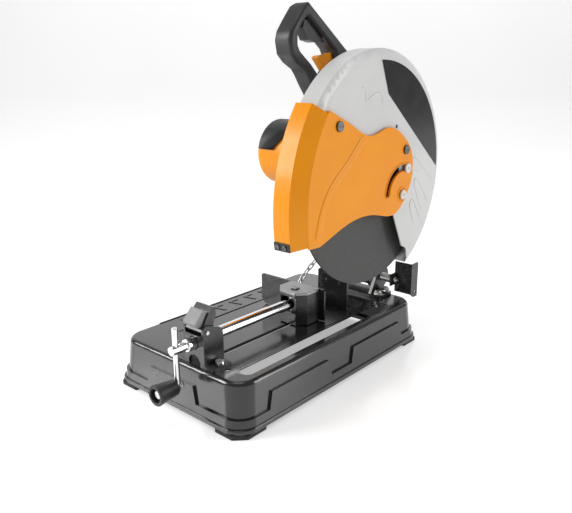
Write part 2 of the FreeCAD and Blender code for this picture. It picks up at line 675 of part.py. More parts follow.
def torsion_spring():
    """Lift spring round the hub: one leg under the front of the arm, one down to the foot."""
    along_y, along_z = arm_direction()
    start_angle = math.degrees(math.atan2(-along_z, -along_y))
    sweep = 2 * 360.0 + 270.0 - start_angle
    height = SPRING_PITCH * sweep / 360.0
    steps = int(sweep / 18.0)
    places = []
    for index in range(steps + 1):
        turn = math.radians(sweep * index / steps)
        rise = height * index / steps
        places.append(V(SPRING_RADIUS * math.cos(turn), SPRING_RADIUS * math.sin(turn), rise))
    profile = Part.Wire(Part.makeCircle(SPRING_WIRE, places[0], places[1] - places[0]))
    coil = Part.makePolygon(places).makePipeShell([profile], True, False, 1)
    coil = aim(coil, V(0, 0, 0), X_AXIS)
    coil.rotate(V(0, 0, 0), X_AXIS, start_angle)
    coil.translate(V(SPRING_FIRST_X, HINGE_Y, HINGE_Z))
    last_x = SPRING_FIRST_X + height
    near = V(SPRING_FIRST_X, HINGE_Y - along_z * SPRING_RADIUS, HINGE_Z + along_y * SPRING_RADIUS)
    tip = near + V(0, along_y, along_z) * 46 + V(0, along_z, -along_y) * 0.8
    inner = V(SPRING_FIRST_X - 8, tip.y, tip.z)
    front = V(last_x, HINGE_Y - SPRING_RADIUS, HINGE_Z)
    down = V(last_x, HINGE_Y - SPRING_RADIUS, TABLE_Z + 5 + SPRING_WIRE + 0.06)
    pieces = [wire_piece(near, tip), wire_piece(tip, inner), wire_piece(front, down)]
    return coil.multiFuse(pieces).removeSplitter()


def wire_piece(start, end):
    """Straight piece of spring wire with slightly swollen round ends, as at a tight bend."""
    rod = Part.makeCylinder(SPRING_WIRE, (end - start).Length, start, end - start)
    return rod.multiFuse([Part.makeSphere(SPRING_WIRE + 0.06, place) for place in (start, end)])


def arm_direction():
    """Direction (y, z) of the arm's front face, from the hinge up to the gear case."""
    length = math.hypot(SPINDLE_Y - 20 - HINGE_Y + 17, SPINDLE_Z - 40 - HINGE_Z + 8)
    return (SPINDLE_Y - 3 - HINGE_Y) / length, (SPINDLE_Z - 32 - HINGE_Z) / length


# ---- gear case and arm --------------------------------------------------------------------
CASE_BACK_X = 26.0
CASE_SPLIT_X = 70.0
CASE_WALL = 5.0
CASE_RADIUS = 48.0
ARM_LEFT_X = -6.0
ARM_RIGHT_X = 42.0


def case_outline(radius_out, x0, x1):
    """Egg-shaped body round the spindle axis and the motor axis."""
    body = rod_x(radius_out, SPINDLE_Y, SPINDLE_Z, x0, x1)
    body = body.fuse(rod_x(radius_out, MOTOR_Y, MOTOR_Z, x0, x1))
    side_y = math.sin(math.radians(MOTOR_ANGLE)) * radius_out
    side_z = math.cos(math.radians(MOTOR_ANGLE)) * radius_out
    outline = [(SPINDLE_Y - side_y, SPINDLE_Z + side_z), (SPINDLE_Y + side_y, SPINDLE_Z - side_z),
               (MOTOR_Y + side_y, MOTOR_Z - side_z), (MOTOR_Y - side_y, MOTOR_Z + side_z)]
    return body.fuse(plate_x(outline, x0, x1)).removeSplitter()


def handle_tang():
    """Upright lug of the casting that the handle halves close over."""
    return box(HANDLE_LEFT_X + 5, HANDLE_RIGHT_X - 5, 72, 128, 350, 425)


def motor_space():
    """Room for the motor housing beside the gear case."""
    return rod_x(MOTOR_RADIUS + 2.1, MOTOR_Y, MOTOR_Z, -60, CASE_BACK_X - 0.2)


def head_casting():
    """Cast head: the gear case with the arm down to the hinge hub, open on the disc side."""
    case = soften(case_outline(CASE_RADIUS, CASE_BACK_X, CASE_SPLIT_X), 4.0, at_level("X", CASE_BACK_X))
    arm_line = [(HINGE_Y + 17, HINGE_Z + 8), (HINGE_Y - 17, HINGE_Z - 8), (SPINDLE_Y - 20, SPINDLE_Z - 40),
                (SPINDLE_Y + 42, SPINDLE_Z - 5)]
    arm = plate_x(arm_line, ARM_LEFT_X, ARM_RIGHT_X, 3.0)
    pocket = [(HINGE_Y + 2, HINGE_Z + 30), (HINGE_Y - 22, HINGE_Z + 20), (SPINDLE_Y - 2, SPINDLE_Z - 52),
              (SPINDLE_Y + 30, SPINDLE_Z - 38)]
    for x0, x1 in ((ARM_LEFT_X - 1, ARM_LEFT_X + 17), (ARM_RIGHT_X - 17, ARM_RIGHT_X + 1)):
        arm = arm.cut(plate_x(pocket, x0, x1, 6.0))
    hub = rod_x(HUB_RADIUS, HINGE_Y, HINGE_Z, EAR_LEFT_X + EAR_THICKNESS + 0.5, EAR_RIGHT_X - 0.5)
    hub = soften(hub, 1.5)
    body = case.fuse(arm).fuse(hub)
    lug = box(CHAIN_LUG_X - 1.2, CHAIN_LUG_X + 1.2, 132, 158, 185, 200)
    body = body.fuse(round_along(lug, X_AXIS, 4.0))
    body = body.fuse(handle_tang())
    body = body.cut(motor_space())
    body = body.cut(case_outline(CASE_RADIUS - CASE_WALL, CASE_BACK_X + 18, CASE_SPLIT_X + 1))
    body = body.cut(rod_x(SHAFT_RADIUS + RUN_GAP, HINGE_Y, HINGE_Z, -60, 90))
    body = body.cut(rod_x(17.5, SPINDLE_Y, SPINDLE_Z, 31, 50))
    body = body.cut(rod_x(16.0, MOTOR_Y, MOTOR_Z, 31, 50))
    body = body.cut(rod_x(12.0, MOTOR_Y, MOTOR_Z, 20, 32))
    body = body.cut(rod_x(2.2, CHAIN_LUG_Y, CHAIN_LUG_Z, 5, 25))
    body = body.cut(lock_rod(2.4 + RUN_GAP, 40, 60))
    for y, z in case_screw_places():
        body = body.cut(rod_x(2.0, y, z, 50, 80))
    for y, z in handle_screw_places()[:2]:
        body = body.cut(rod_x(2.6, y, z, 0, 60))
    return body.removeSplitter()


def case_screw_places():
    """Screws of the gear case cover, on the rim of the case."""
    radius = CASE_RADIUS - 2.6
    places = [polar(SPINDLE_Y, SPINDLE_Z, radius, angle) for angle in (-150, -95, -40, 10)]
    return places + [polar(MOTOR_Y, MOTOR_Z, radius, angle) for angle in (85, 140, 195)]


def gear_case_cover():
    """Cast cover on the disc side of the gear case, with the front bearing seat."""
    cover = case_outline(CASE_RADIUS, CASE_SPLIT_X, 76)
    cover = cover.fuse(rod_x(34, SPINDLE_Y, SPINDLE_Z, 70, GUARD_BACK_X))
    cover = cover.cut(rod_x(23.5, SPINDLE_Y, SPINDLE_Z, 66, 82))
    cover = cover.cut(rod_x(17, SPINDLE_Y, SPINDLE_Z, 66, 90))
    cover = cover.cut(rod_x(8, MOTOR_Y, MOTOR_Z, 66, 72))
    for y, z in case_screw_places():
        cover = cover.cut(rod_x(2.0, y, z, 60, 80))
    for angle in GUARD_SCREW_ANGLES:
        y, z = polar(SPINDLE_Y, SPINDLE_Z, 30, angle)
        cover = cover.cut(rod_x(2.0, y, z, 76, 90))
    return cover


GUARD_SCREW_ANGLES = (45, 135, 225, 315)


def casing_screws():
    """Screws of the gear case cover and of the motor housing."""
    screws = []
    for y, z in case_screw_places():
        screws.append(socket_screw(2.0, V(76, y, z), V(-1, 0, 0), 20, 2.6, 2.4))
    for angle in (50, 140, 230, 320):
        y, z = polar(MOTOR_Y, MOTOR_Z, MOTOR_RADIUS - 5.5, angle)
        screws.append(socket_screw(2.2, V(-68.5, y, z), X_AXIS, 20, 3.4, 3.0))
    return screws


def gear(teeth, y, z, x0, x1, phase):
    """Spur gear with straight-flanked teeth along X, slimmed a little for running clearance."""
    pitch_radius = GEAR_MODULE * teeth / 2
    tip = pitch_radius + 0.85 * GEAR_MODULE
    root = pitch_radius - 1.15 * GEAR_MODULE
    half = 0.20 * math.pi * GEAR_MODULE
    slope = math.tan(math.radians(20))
    points = []
    for index in range(teeth):
        centre = phase + 360.0 * index / teeth
        for radius, side in ((root, -1), (tip, -1), (tip, 1), (root, 1)):
            width = half - slope * (radius - pitch_radius)
            points.append(polar(y, z, radius, centre + side * math.degrees(width / radius)))
    return plate_x(points, x0, x1)


def spindle_gear():
    """Large gear on the spindle, with lightening holes."""
    wheel = gear(SPINDLE_TEETH, SPINDLE_Y, SPINDLE_Z, 50, 62, MOTOR_ANGLE)
    wheel = wheel.cut(rod_x(10.0, SPINDLE_Y, SPINDLE_Z, 40, 70))
    for angle in range(0, 360, 60):
        y, z = polar(SPINDLE_Y, SPINDLE_Z, 17.5, angle)
        wheel = wheel.cut(rod_x(4.0, y, z, 40, 70))
    return wheel


def spindle():
    """Output spindle with a nose for the disc and a threaded end."""
    shaft = rod_x(7.5, SPINDLE_Y, SPINDLE_Z, 31.5, 44)
    shaft = shaft.fuse(rod_x(10.0, SPINDLE_Y, SPINDLE_Z, 44, 94))
    shaft = shaft.fuse(rod_x(12.5, SPINDLE_Y, SPINDLE_Z, 94, 105))
    shaft = shaft.cut(rod_x(5.0, SPINDLE_Y, SPINDLE_Z, 88, 110))
    return shaft.cut(lock_rod(2.7, -20, 20)).removeSplitter()


def inner_flange():
    """Flange between the guard and the disc."""
    flange = rod_x(38, SPINDLE_Y, SPINDLE_Z, 95, 100.4).cut(rod_x(34, SPINDLE_Y, SPINDLE_Z, 99.6, 101))
    flange = flange.fuse(rod_x(18, SPINDLE_Y, SPINDLE_Z, 90, 95))
    flange = flange.cut(rod_x(12.5, SPINDLE_Y, SPINDLE_Z, 93, 105))
    return flange.cut(rod_x(10.0, SPINDLE_Y, SPINDLE_Z, 85, 95))


def cutting_disc():
    """Bonded abrasive disc."""
    disc = ring_x(DISC_RADIUS, 12.5, SPINDLE_Y, SPINDLE_Z, 100.4, 100.4 + DISC_THICKNESS)
    return disc


def outer_flange():
    """Pressed flange on the outer side of the disc."""
    flange = rod_x(38, SPINDLE_Y, SPINDLE_Z, 103.6, 108.5).cut(rod_x(34, SPINDLE_Y, SPINDLE_Z, 103, 104.4))
    flange = soften(flange, 1.5, at_level("X", 108.5))
    return flange.cut(rod_x(12.5, SPINDLE_Y, SPINDLE_Z, 100, 105.2)).cut(rod_x(5.0, SPINDLE_Y, SPINDLE_Z, 100, 110))


def spindle_bolt():
    """Left-hand bolt and washer that clamp the disc."""
    bolt = hex_bolt(5.0, V(110.5, SPINDLE_Y, SPINDLE_Z), V(-1, 0, 0), 21, 17, head=6.5)
    return bolt.fuse(ring_x(14, 5.0, SPINDLE_Y, SPINDLE_Z, 108.5, 110.5)).removeSplitter()


def bearings():
    """Ball bearings of the spindle and of the armature, as closed rings."""
    spots = [(23.5, 10.0, SPINDLE_Y, SPINDLE_Z, 68, 82), (17.5, 7.5, SPINDLE_Y, SPINDLE_Z, 31, 42),
             (16.0, 6.0, MOTOR_Y, MOTOR_Z, 32, 42), (13.0, 5.0, MOTOR_Y, MOTOR_Z, -76, -67)]
    rings = []
    for outer, inner, y, z, x0, x1 in spots:
        ring = ring_x(outer, inner + RUN_GAP, y, z, x0, x1)
        groove_out = outer - (outer - inner) * 0.3
        groove_in = inner + (outer - inner) * 0.3
        ring = ring.cut(ring_x(groove_out, groove_in, y, z, x0 - 1, x0 + 1))
        rings.append(ring.cut(ring_x(groove_out, groove_in, y, z, x1 - 1, x1 + 1)))
    return rings


# ---- motor --------------------------------------------------------------------------------
def motor_housing():
    """Moulded motor housing: a tube with a flange, stator ribs and cooling slots."""
    shell = ring_x(MOTOR_RADIUS, MOTOR_RADIUS - 3.2, MOTOR_Y, MOTOR_Z, -66, 25.5)
    flange = ring_x(MOTOR_RADIUS + 2.0, MOTOR_RADIUS - 3.2, MOTOR_Y, MOTOR_Z, 18, 25.5)
    shell = shell.fuse(flange)
    boss_pieces = []
    for angle in (50, 140, 230, 320):
        y, z = polar(MOTOR_Y, MOTOR_Z, MOTOR_RADIUS - 5.5, angle)
        boss_pieces.append(rod_x(5.0, y, z, -66, -47))
    shell = shell.multiFuse(boss_pieces).common(rod_x(MOTOR_RADIUS + 2, MOTOR_Y, MOTOR_Z, -66, 26))
    for angle in (50, 140, 230, 320):
        y, z = polar(MOTOR_Y, MOTOR_Z, MOTOR_RADIUS - 5.5, angle)
        shell = shell.cut(rod_x(2.2, y, z, -70, -45))
    for angle in range(200, 341, 20):
        y, z = polar(MOTOR_Y, MOTOR_Z, MOTOR_RADIUS - 2, angle)
        slot = box(0, 16, y - 1.5, y + 1.5, z - 5, z + 5)
        slot.rotate(V(0, y, z), X_AXIS, angle - 90)
        shell = shell.cut(slot)
    for side in (-1, 1):
        shell = shell.cut(rod_z(7.5, -58, MOTOR_Y, MOTOR_Z + side * 51 - 12, MOTOR_Z + side * 51 + 12))
    return shell.removeSplitter()


def motor_end_cap():
    """Rounded end cap of the motor with the rear bearing seat and cooling slots."""
    cap = rod_x(MOTOR_RADIUS, MOTOR_Y, MOTOR_Z, MOTOR_END_X, -66)
    cap = soften(cap, 13.0, at_level("X", MOTOR_END_X))
    hollow = rod_x(MOTOR_RADIUS - 3.2, MOTOR_Y, MOTOR_Z, MOTOR_END_X + 3.5, -65)
    cap = cap.cut(soften(hollow, 10.0, at_level("X", MOTOR_END_X + 3.5)))
    seat = ring_x(16, 13.0, MOTOR_Y, MOTOR_Z, MOTOR_END_X + 1, -67)
    cap = cap.fuse(seat)
    for angle in (50, 140, 230, 320):
        y, z = polar(MOTOR_Y, MOTOR_Z, MOTOR_RADIUS - 5.5, angle)
        cap = cap.fuse(rod_x(5.0, y, z, -72, -66).common(rod_x(MOTOR_RADIUS, MOTOR_Y, MOTOR_Z, -80, -66)))
        cap = cap.cut(rod_x(2.2, y, z, -90, -60)).cut(rod_x(3.6, y, z, -90, -68.5))
    for index in range(-3, 4):
        y = MOTOR_Y + index * 9.0
        cap = cap.cut(box(MOTOR_END_X - 1, MOTOR_END_X + 5, y - 1.6, y + 1.6, MOTOR_Z + 18, MOTOR_Z + 30))
        cap = cap.cut(box(MOTOR_END_X - 1, MOTOR_END_X + 5, y - 1.6, y + 1.6, MOTOR_Z - 30, MOTOR_Z - 18))
    return cap.removeSplitter()


def vent_cover():
    """Black raised cover over the back top of the motor housing."""
    shell = sector(MOTOR_RADIUS + 0.02, MOTOR_RADIUS + 4, MOTOR_Y, MOTOR_Z, -70, -14, 30, 169)
    shell = soften(shell, 1.4)
    below = [(-44, MOTOR_Z + 4), (-12, MOTOR_Z + 46), (-12, MOTOR_Z), (-44, MOTOR_Z)]
    shell = shell.cut(plate_y(below, MOTOR_Y - 60, MOTOR_Y))
    for index in range(4):
        x = -62 + index * 9.0
        slot = sector(MOTOR_RADIUS, MOTOR_RADIUS + 6, MOTOR_Y, MOTOR_Z, x, x + 3.5, 44, 76)
        shell = shell.cut(slot)
    return shell


def stator():
    """Stator stack with its two field coils as one ring."""
    stack = ring_x(MOTOR_RADIUS - 3.22, 29.5, MOTOR_Y, MOTOR_Z, -40, 6)
    coils = ring_x(42, 31.0, MOTOR_Y, MOTOR_Z, -46, 12)
    return stack.fuse(coils).removeSplitter()


def armature_shaft():
    """Armature shaft with the pinion cut on its end."""
    shaft = rod_x(5.0, MOTOR_Y, MOTOR_Z, -76, -50)
    shaft = shaft.fuse(rod_x(6.0, MOTOR_Y, MOTOR_Z, -50, 50))
    pinion_phase = MOTOR_ANGLE + 180.0 + 180.0 / PINION_TEETH
    pinion = gear(PINION_TEETH, MOTOR_Y, MOTOR_Z, 49, 63, pinion_phase)
    return shaft.fuse(pinion).removeSplitter()


def armature():
    """Wound armature core with its commutator, pressed on the shaft."""
    core = ring_x(28.5, 6.0, MOTOR_Y, MOTOR_Z, -40, 6)
    core = core.fuse(ring_x(24, 6.0, MOTOR_Y, MOTOR_Z, -47, 12))
    for angle in range(0, 360, 30):
        y, z = polar(MOTOR_Y, MOTOR_Z, 28.5, angle)
        core = core.cut(rod_x(1.4, y, z, -41, 7))
    core = core.fuse(ring_x(10, 6.0, MOTOR_Y, MOTOR_Z, -50, -46))
    return core.fuse(ring_x(15, 5.0, MOTOR_Y, MOTOR_Z, -64, -50)).removeSplitter()


def cooling_fan():
    """Plastic fan between the armature and the gear case."""
    fan = ring_x(14, 6.0, MOTOR_Y, MOTOR_Z, 13.5, 25)
    fan = fan.fuse(ring_x(42, 6.0, MOTOR_Y, MOTOR_Z, 13.5, 15.5))
    blade = box(15, 24, MOTOR_Y + 12, MOTOR_Y + 41, MOTOR_Z - 1, MOTOR_Z + 1)
    for index in range(12):
        turned = blade.copy()
        turned.rotate(V(0, MOTOR_Y, MOTOR_Z), X_AXIS, 30.0 * index)
        fan = fan.fuse(turned)
    return fan.removeSplitter()


def carbon_brushes():
    """Two carbon brushes on the commutator."""
    brushes = []
    for side in (-1, 1):
        z0, z1 = sorted((MOTOR_Z + side * 15.1, MOTOR_Z + side * 34))
        brushes.append(box(-61, -54, MOTOR_Y - 4, MOTOR_Y + 4, z0, z1))
    return brushes


def brush_caps():
    """Flush slotted brush caps above and below the commutator."""
    caps = []
    for side in (-1, 1):
        outer = MOTOR_Z + side * (MOTOR_RADIUS - 0.6)
        z0, z1 = sorted((MOTOR_Z + side * 34.2, outer))
        cap = rod_z(7.48, -58, MOTOR_Y, z0, z1)
        z0, z1 = sorted((outer - side * 1.5, outer + side))
        caps.append(cap.cut(box(-66, -50, MOTOR_Y - 0.9, MOTOR_Y + 0.9, z0, z1)))
    return caps


# ---- guard and swing cover ----------------------------------------------------------------
GUARD_SHEET = 2.0
GUARD_BEVEL = 13.5
GUARD_BEVEL_X = 6.5


def guard_outline(radius):
    """Outline of the guard side walls: the rim arc, then the open edge round the spindle."""
    arc = arc_points(SPINDLE_Y, SPINDLE_Z, radius, GUARD_FIRST_ANGLE, GUARD_LAST_ANGLE, 46)
    open_edge = [(-60, 352), (30, 352)]
    open_edge += arc_points(SPINDLE_Y, SPINDLE_Z, 54, 140, -60, 12)
    open_edge += [(147.7, 243.6), (178.7, 182), (193, 175)]
    return arc + open_edge


def fixed_guard():
    """Fixed guard: rim, bevelled outer wall and an inner wall bolted to the gear case."""
    bevel_x = GUARD_FACE_X - GUARD_BEVEL_X
    rim = sector(GUARD_RADIUS - GUARD_SHEET, GUARD_RADIUS, SPINDLE_Y, SPINDLE_Z, GUARD_BACK_X,
                 bevel_x, GUARD_FIRST_ANGLE, GUARD_LAST_ANGLE)
    bevel = Part.makeCone(GUARD_RADIUS, GUARD_RADIUS - GUARD_BEVEL, GUARD_BEVEL_X,
                          V(bevel_x, SPINDLE_Y, SPINDLE_Z), X_AXIS)
    bevel = bevel.cut(Part.makeCone(GUARD_RADIUS - GUARD_SHEET, GUARD_RADIUS - GUARD_BEVEL - GUARD_SHEET,
                                    GUARD_BEVEL_X, V(bevel_x, SPINDLE_Y, SPINDLE_Z), X_AXIS))
    sweep = GUARD_LAST_ANGLE - GUARD_FIRST_ANGLE
    pie = Part.makeCylinder(GUARD_RADIUS + 2, 60, V(80, SPINDLE_Y, SPINDLE_Z), X_AXIS, sweep)
    pie.rotate(V(80, SPINDLE_Y, SPINDLE_Z), X_AXIS, GUARD_FIRST_ANGLE - 90)
    bevel = bevel.common(pie)
    wall = plate_x(guard_outline(GUARD_RADIUS - GUARD_BEVEL - 0.5), GUARD_FACE_X - GUARD_SHEET, GUARD_FACE_X)
    back = sector(43.0, GUARD_RADIUS - 0.5, SPINDLE_Y, SPINDLE_Z, GUARD_BACK_X, GUARD_BACK_X + GUARD_SHEET,
                  GUARD_FIRST_ANGLE, GUARD_LAST_ANGLE)
    back = back.fuse(ring_x(46.0, 19.0, SPINDLE_Y, SPINDLE_Z, GUARD_BACK_X, GUARD_BACK_X + GUARD_SHEET))
    guard = rim.multiFuse([bevel, wall, back])
    for angle in GUARD_SCREW_ANGLES:
        y, z = polar(SPINDLE_Y, SPINDLE_Z, 30, angle)
        guard = guard.cut(rod_x(2.0, y, z, 80, 90))
    guard = guard.cut(rod_x(3.0, COVER_PIVOT_Y, COVER_PIVOT_Z, 110, 130))
    guard = guard.cut(rod_x(3.0, GUIDE_Y, GUIDE_Z, 110, 130))
    for y, z in ((148.3, 384.5), (195.8, 314.2)):
        guard = guard.cut(rod_x(3.2, y, z, 110, 130))
    return guard.removeSplitter()


GUIDE_Y = 176.6
GUIDE_Z = 315.8


def guard_screws():
    """Screws that hold the guard on the gear case cover."""
    screws = []
    for angle in GUARD_SCREW_ANGLES:
        y, z = polar(SPINDLE_Y, SPINDLE_Z, 30, angle)
        screws.append(socket_screw(2.0, V(GUARD_BACK_X + GUARD_SHEET, y, z), V(-1, 0, 0), 9, 3.6, 2.2))
    return screws


def rating_label():
    """Blank plastic badge on the rear top of the guard."""
    outline = arc_points(SPINDLE_Y, SPINDLE_Z, 174, 93, -1, 26) + [(120.6, 435)]
    return plate_x(outline, GUARD_FACE_X, GUARD_FACE_X + 0.6)


def cover_side():
    """Flat side of the swing cover: one smooth curve behind the rim, straight edges at the rim."""
    curved = [(-50, 425), (-14, 409.6), (24, 393), (62, 376.5), (88, 377.5), (115, 384.3), (142, 380),
              (163, 368.6), (182.5, 352.3), (193.4, 332.6), (195.6, 309.5), (191.8, 290.6), (182, 274.5),
              (166, 256), (148, 244.5), (128, 243), (91.4, 250.7), (60, 254.2), (35, 252.8), (1, 245.2),
              (-31, 234.3), (-50, 228)]
    curve = Part.BSplineCurve()
    curve.interpolate([V(COVER_INNER_X, y, z) for y, z in curved])
    straight = [(-50, 228), (-76, 229), (-130, 226), (-130, 425), (-50, 425)]
    lines = Part.makePolygon([V(COVER_INNER_X, y, z) for y, z in straight])
    face = Part.Face(Part.Wire([curve.toShape()] + lines.Edges))
    return face.extrude(V(COVER_OUTER_X - COVER_INNER_X, 0, 0))


def swing_cover():
    """Orange swinging cover: curved rim in front, bevel, and a flat side with a guide slot."""
    sheet = COVER_OUTER_X - COVER_INNER_X
    side = cover_side()
    inner_cut = rod_x(COVER_RIM_RADIUS - 24, COVER_PIVOT_Y, COVER_PIVOT_Z, 100, 140)
    side = side.common(inner_cut)
    first, last = cover_rim_angles()
    rim = sector(COVER_RIM_RADIUS - sheet, COVER_RIM_RADIUS, COVER_PIVOT_Y, COVER_PIVOT_Z, GUARD_BACK_X, 113,
                 first, last)
    bevel_length = COVER_OUTER_X - 113
    bevel = Part.makeCone(COVER_RIM_RADIUS, COVER_RIM_RADIUS - 24.5, bevel_length,
                          V(113, COVER_PIVOT_Y, COVER_PIVOT_Z), X_AXIS)
    hollow = Part.makeCone(COVER_RIM_RADIUS - sheet, COVER_RIM_RADIUS - 24.5 - sheet * 1.6, bevel_length,
                           V(113, COVER_PIVOT_Y, COVER_PIVOT_Z), X_AXIS)
    pie = Part.makeCylinder(COVER_RIM_RADIUS + 2, 60, V(80, COVER_PIVOT_Y, COVER_PIVOT_Z), X_AXIS, last - first)
    pie.rotate(V(80, COVER_PIVOT_Y, COVER_PIVOT_Z), X_AXIS, first - 90)
    bevel = bevel.cut(hollow).common(pie)
    cover = rim.multiFuse([bevel, side])
    cover = cover.cut(rod_x(5.0, COVER_PIVOT_Y, COVER_PIVOT_Z, 110, 130))
    cover = cover.cut(guide_slot(5.0))
    for y, z in COVER_KNOBS:
        cover = cover.cut(rod_x(2.5, y, z, 110, 130))
    return cut_tip_holes(cover).removeSplitter()


COVER_KNOBS = [(-8.6, 394.1), (171.8, 346.3)]


def cover_rim_angles():
    """First and last angle of the cover rim about the cover pivot."""
    top = math.degrees(math.atan2(427 - COVER_PIVOT_Z, -53 - COVER_PIVOT_Y))
    tip = 360 + math.degrees(math.atan2(228 - COVER_PIVOT_Z, -95 - COVER_PIVOT_Y))
    return top, tip


def guide_slot(half_width):
    """Curved slot that the guide screw runs in as the cover swings."""
    reach = math.hypot(GUIDE_Y - COVER_PIVOT_Y, GUIDE_Z - COVER_PIVOT_Z)
    here = math.degrees(math.atan2(GUIDE_Z - COVER_PIVOT_Z, GUIDE_Y - COVER_PIVOT_Y))
    slot = sector(reach - half_width, reach + half_width, COVER_PIVOT_Y, COVER_PIVOT_Z, 120, 130,
                  here, here + COVER_SWING)
    for angle in (here, here + COVER_SWING):
        y, z = polar(COVER_PIVOT_Y, COVER_PIVOT_Z, reach, angle)
        slot = slot.fuse(rod_x(half_width, y, z, 120, 130))
    return slot


COVER_SWING = 98.0


def cover_pivot_screws():
    """White-capped pivot and guide screws fixed in the guard."""
    screws = []
    for y, z in ((COVER_PIVOT_Y, COVER_PIVOT_Z), (GUIDE_Y, GUIDE_Z)):
        shank = rod_x(3.0, y, z, 114, GUARD_FACE_X)
        shoulder = rod_x(4.9, y, z, GUARD_FACE_X, COVER_OUTER_X + 0.3)
        head = soften(rod_x(8.0, y, z, COVER_OUTER_X + 0.3, COVER_OUTER_X + 4.3), 1.2,
                      at_level("X", COVER_OUTER_X + 4.3))
        nut = hex_prism(10, V(GUARD_FACE_X - GUARD_SHEET - 4, y, z), X_AXIS, 4)
        screw = shank.multiFuse([shoulder, head, nut])
        screws.append(screw.cut(hex_prism(5, V(COVER_OUTER_X + 1.8, y, z), X_AXIS, 4)).removeSplitter())
    return screws


def cover_screws():
    """Round dark screws in the cover side, and two small screws in its tip."""
    screws = []
    for y, z in COVER_KNOBS:
        body = rod_x(2.5, y, z, COVER_INNER_X, COVER_OUTER_X)
        head = soften(rod_x(7.5, y, z, COVER_OUTER_X, COVER_OUTER_X + 3.5), 1.0,
                      at_level("X", COVER_OUTER_X + 3.5))
        screws.append(body.fuse(head).cut(box(COVER_OUTER_X + 2.2, 140, y - 6, y + 6, z - 0.8, z + 0.8)))
    for x in TIP_SCREW_X:
        y, z = polar(COVER_PIVOT_Y, COVER_PIVOT_Z, COVER_RIM_RADIUS + 2.0, tip_angle())
        along = V(0, math.cos(math.radians(tip_angle())), math.sin(math.radians(tip_angle())))
        screws.append(socket_screw(1.6, V(x, y, z), along * -1, 4.4, 3.6, 1.6))
    return screws


TIP_SCREW_X = (91.0, 104.0)


def tip_angle():
    """Middle of the black wear strip, as an angle about the cover pivot."""
    return cover_rim_angles()[1] - 1.3


def cover_tip():
    """Black wear strip on the lower end of the cover rim."""
    first, last = cover_rim_angles()
    strip = sector(COVER_RIM_RADIUS, COVER_RIM_RADIUS + 2.0, COVER_PIVOT_Y, COVER_PIVOT_Z, GUARD_BACK_X, 113,
                   last - 2.6, last)
    return cut_tip_holes(strip)


def cut_tip_holes(solid):
    """Bore a piece for the two screws of the wear strip."""
    y, z = polar(COVER_PIVOT_Y, COVER_PIVOT_Z, COVER_RIM_RADIUS, tip_angle())
    along = V(0, math.cos(math.radians(tip_angle())), math.sin(math.radians(tip_angle())))
    for x in TIP_SCREW_X:
        solid = solid.cut(Part.makeCylinder(1.6, 12, V(x, y, z) - along * 6, along))
    return solid


# ---- handle, switch and cord --------------------------------------------------------------
HANDLE_LEFT_X = 6.0
HANDLE_MID_X = 23.0
HANDLE_RIGHT_X = 40.0
TRIGGER_PIVOT = (66.0, 521.0)


def handle_solid(x0, x1):
    """D-shaped handle between two X planes, standing on the gear case."""
    front = [(58, 424), (39, 448.5), (29.5, 462), (22, 470.6), (3.5, 480), (-9, 491.5), (-13, 511),
             (-9, 525), (3.7, 541), (20, 560)]
    back = [(31, 565), (128, 499.2), (146, 484), (150, 462), (138, 392), (130, 352), (70, 352), (64, 392)]
    body = plate_x(front + back, x0, x1)
    hole = [(24, 543), (13, 531), (6, 518), (6, 505), (11, 497), (22, 489), (35, 480), (46, 470),
            (60, 458), (84, 464), (100, 482), (92, 500), (66, 519), (40, 538), (30, 545)]
    body = body.cut(plate_x(hole, x0 - 1, x1 + 1, 1.0))
    return body.cut(handle_tang()).cut(case_outline(CASE_RADIUS, 0, 60)).cut(motor_space())


def handle_half(x0, x1, outer_x):
    """One moulded half of the handle, hollow over the switch, its outer edges rounded."""
    half = handle_solid(x0, x1)
    half = soften(half, 6.0, handle_edge(outer_x))
    half = half.cut(switch_body(0.3))
    half = half.cut(trigger_space())
    half = half.cut(handle_insert()).cut(power_cord())
    for y, z in handle_screw_places():
        half = half.cut(rod_x(2.6, y, z, 0, 60))
        half = half.cut(rod_x(4.6, y, z, HANDLE_RIGHT_X - 3.0, 60))
    half = half.cut(rod_x(2.0 + RUN_GAP, TRIGGER_PIVOT[0], TRIGGER_PIVOT[1], HANDLE_LEFT_X + 3.9,
                          HANDLE_RIGHT_X - 3.9))
    return half.cut(lock_button_hole())


def handle_edge(outer_x):
    """Test for the outline edges on the outer face of a handle half, above its foot."""
    def test(edge):
        return at_level("X", outer_x)(edge) and edge.BoundBox.ZMin > 400
    return test


def handle_screw_places():
    """Screws through both handle halves; the first two pass through the casting's tang."""
    return [(84, 408), (120, 408), (64, 440), (136, 470)]


def handle_screws():
    """Long screws from the right half into the left half."""
    screws = []
    for y, z in handle_screw_places():
        screws.append(socket_screw(2.5, V(HANDLE_RIGHT_X - 3.0, y, z), V(-1, 0, 0), 24, 4.4, 2.6))
    return screws


def switch_body(grow):
    """Switch box inside the rear of the handle."""
    return box(HANDLE_MID_X - 9 - grow, HANDLE_MID_X + 9 + grow, 104 - grow, 128 + grow, 448 - grow, 486 + grow)


def trigger_space():
    """Pocket for the trigger in the underside of the rear bar."""
    y, z = TRIGGER_PIVOT
    outline = [(y + 11, z + 5), (y - 4, z + 12), (y - 30, z + 28), (y - 42, z + 26), (y - 46, z + 9),
               (y - 30, z - 16), (y + 11, z - 13)]
    return plate_x(outline, HANDLE_MID_X - 8.5, HANDLE_MID_X + 8.5)


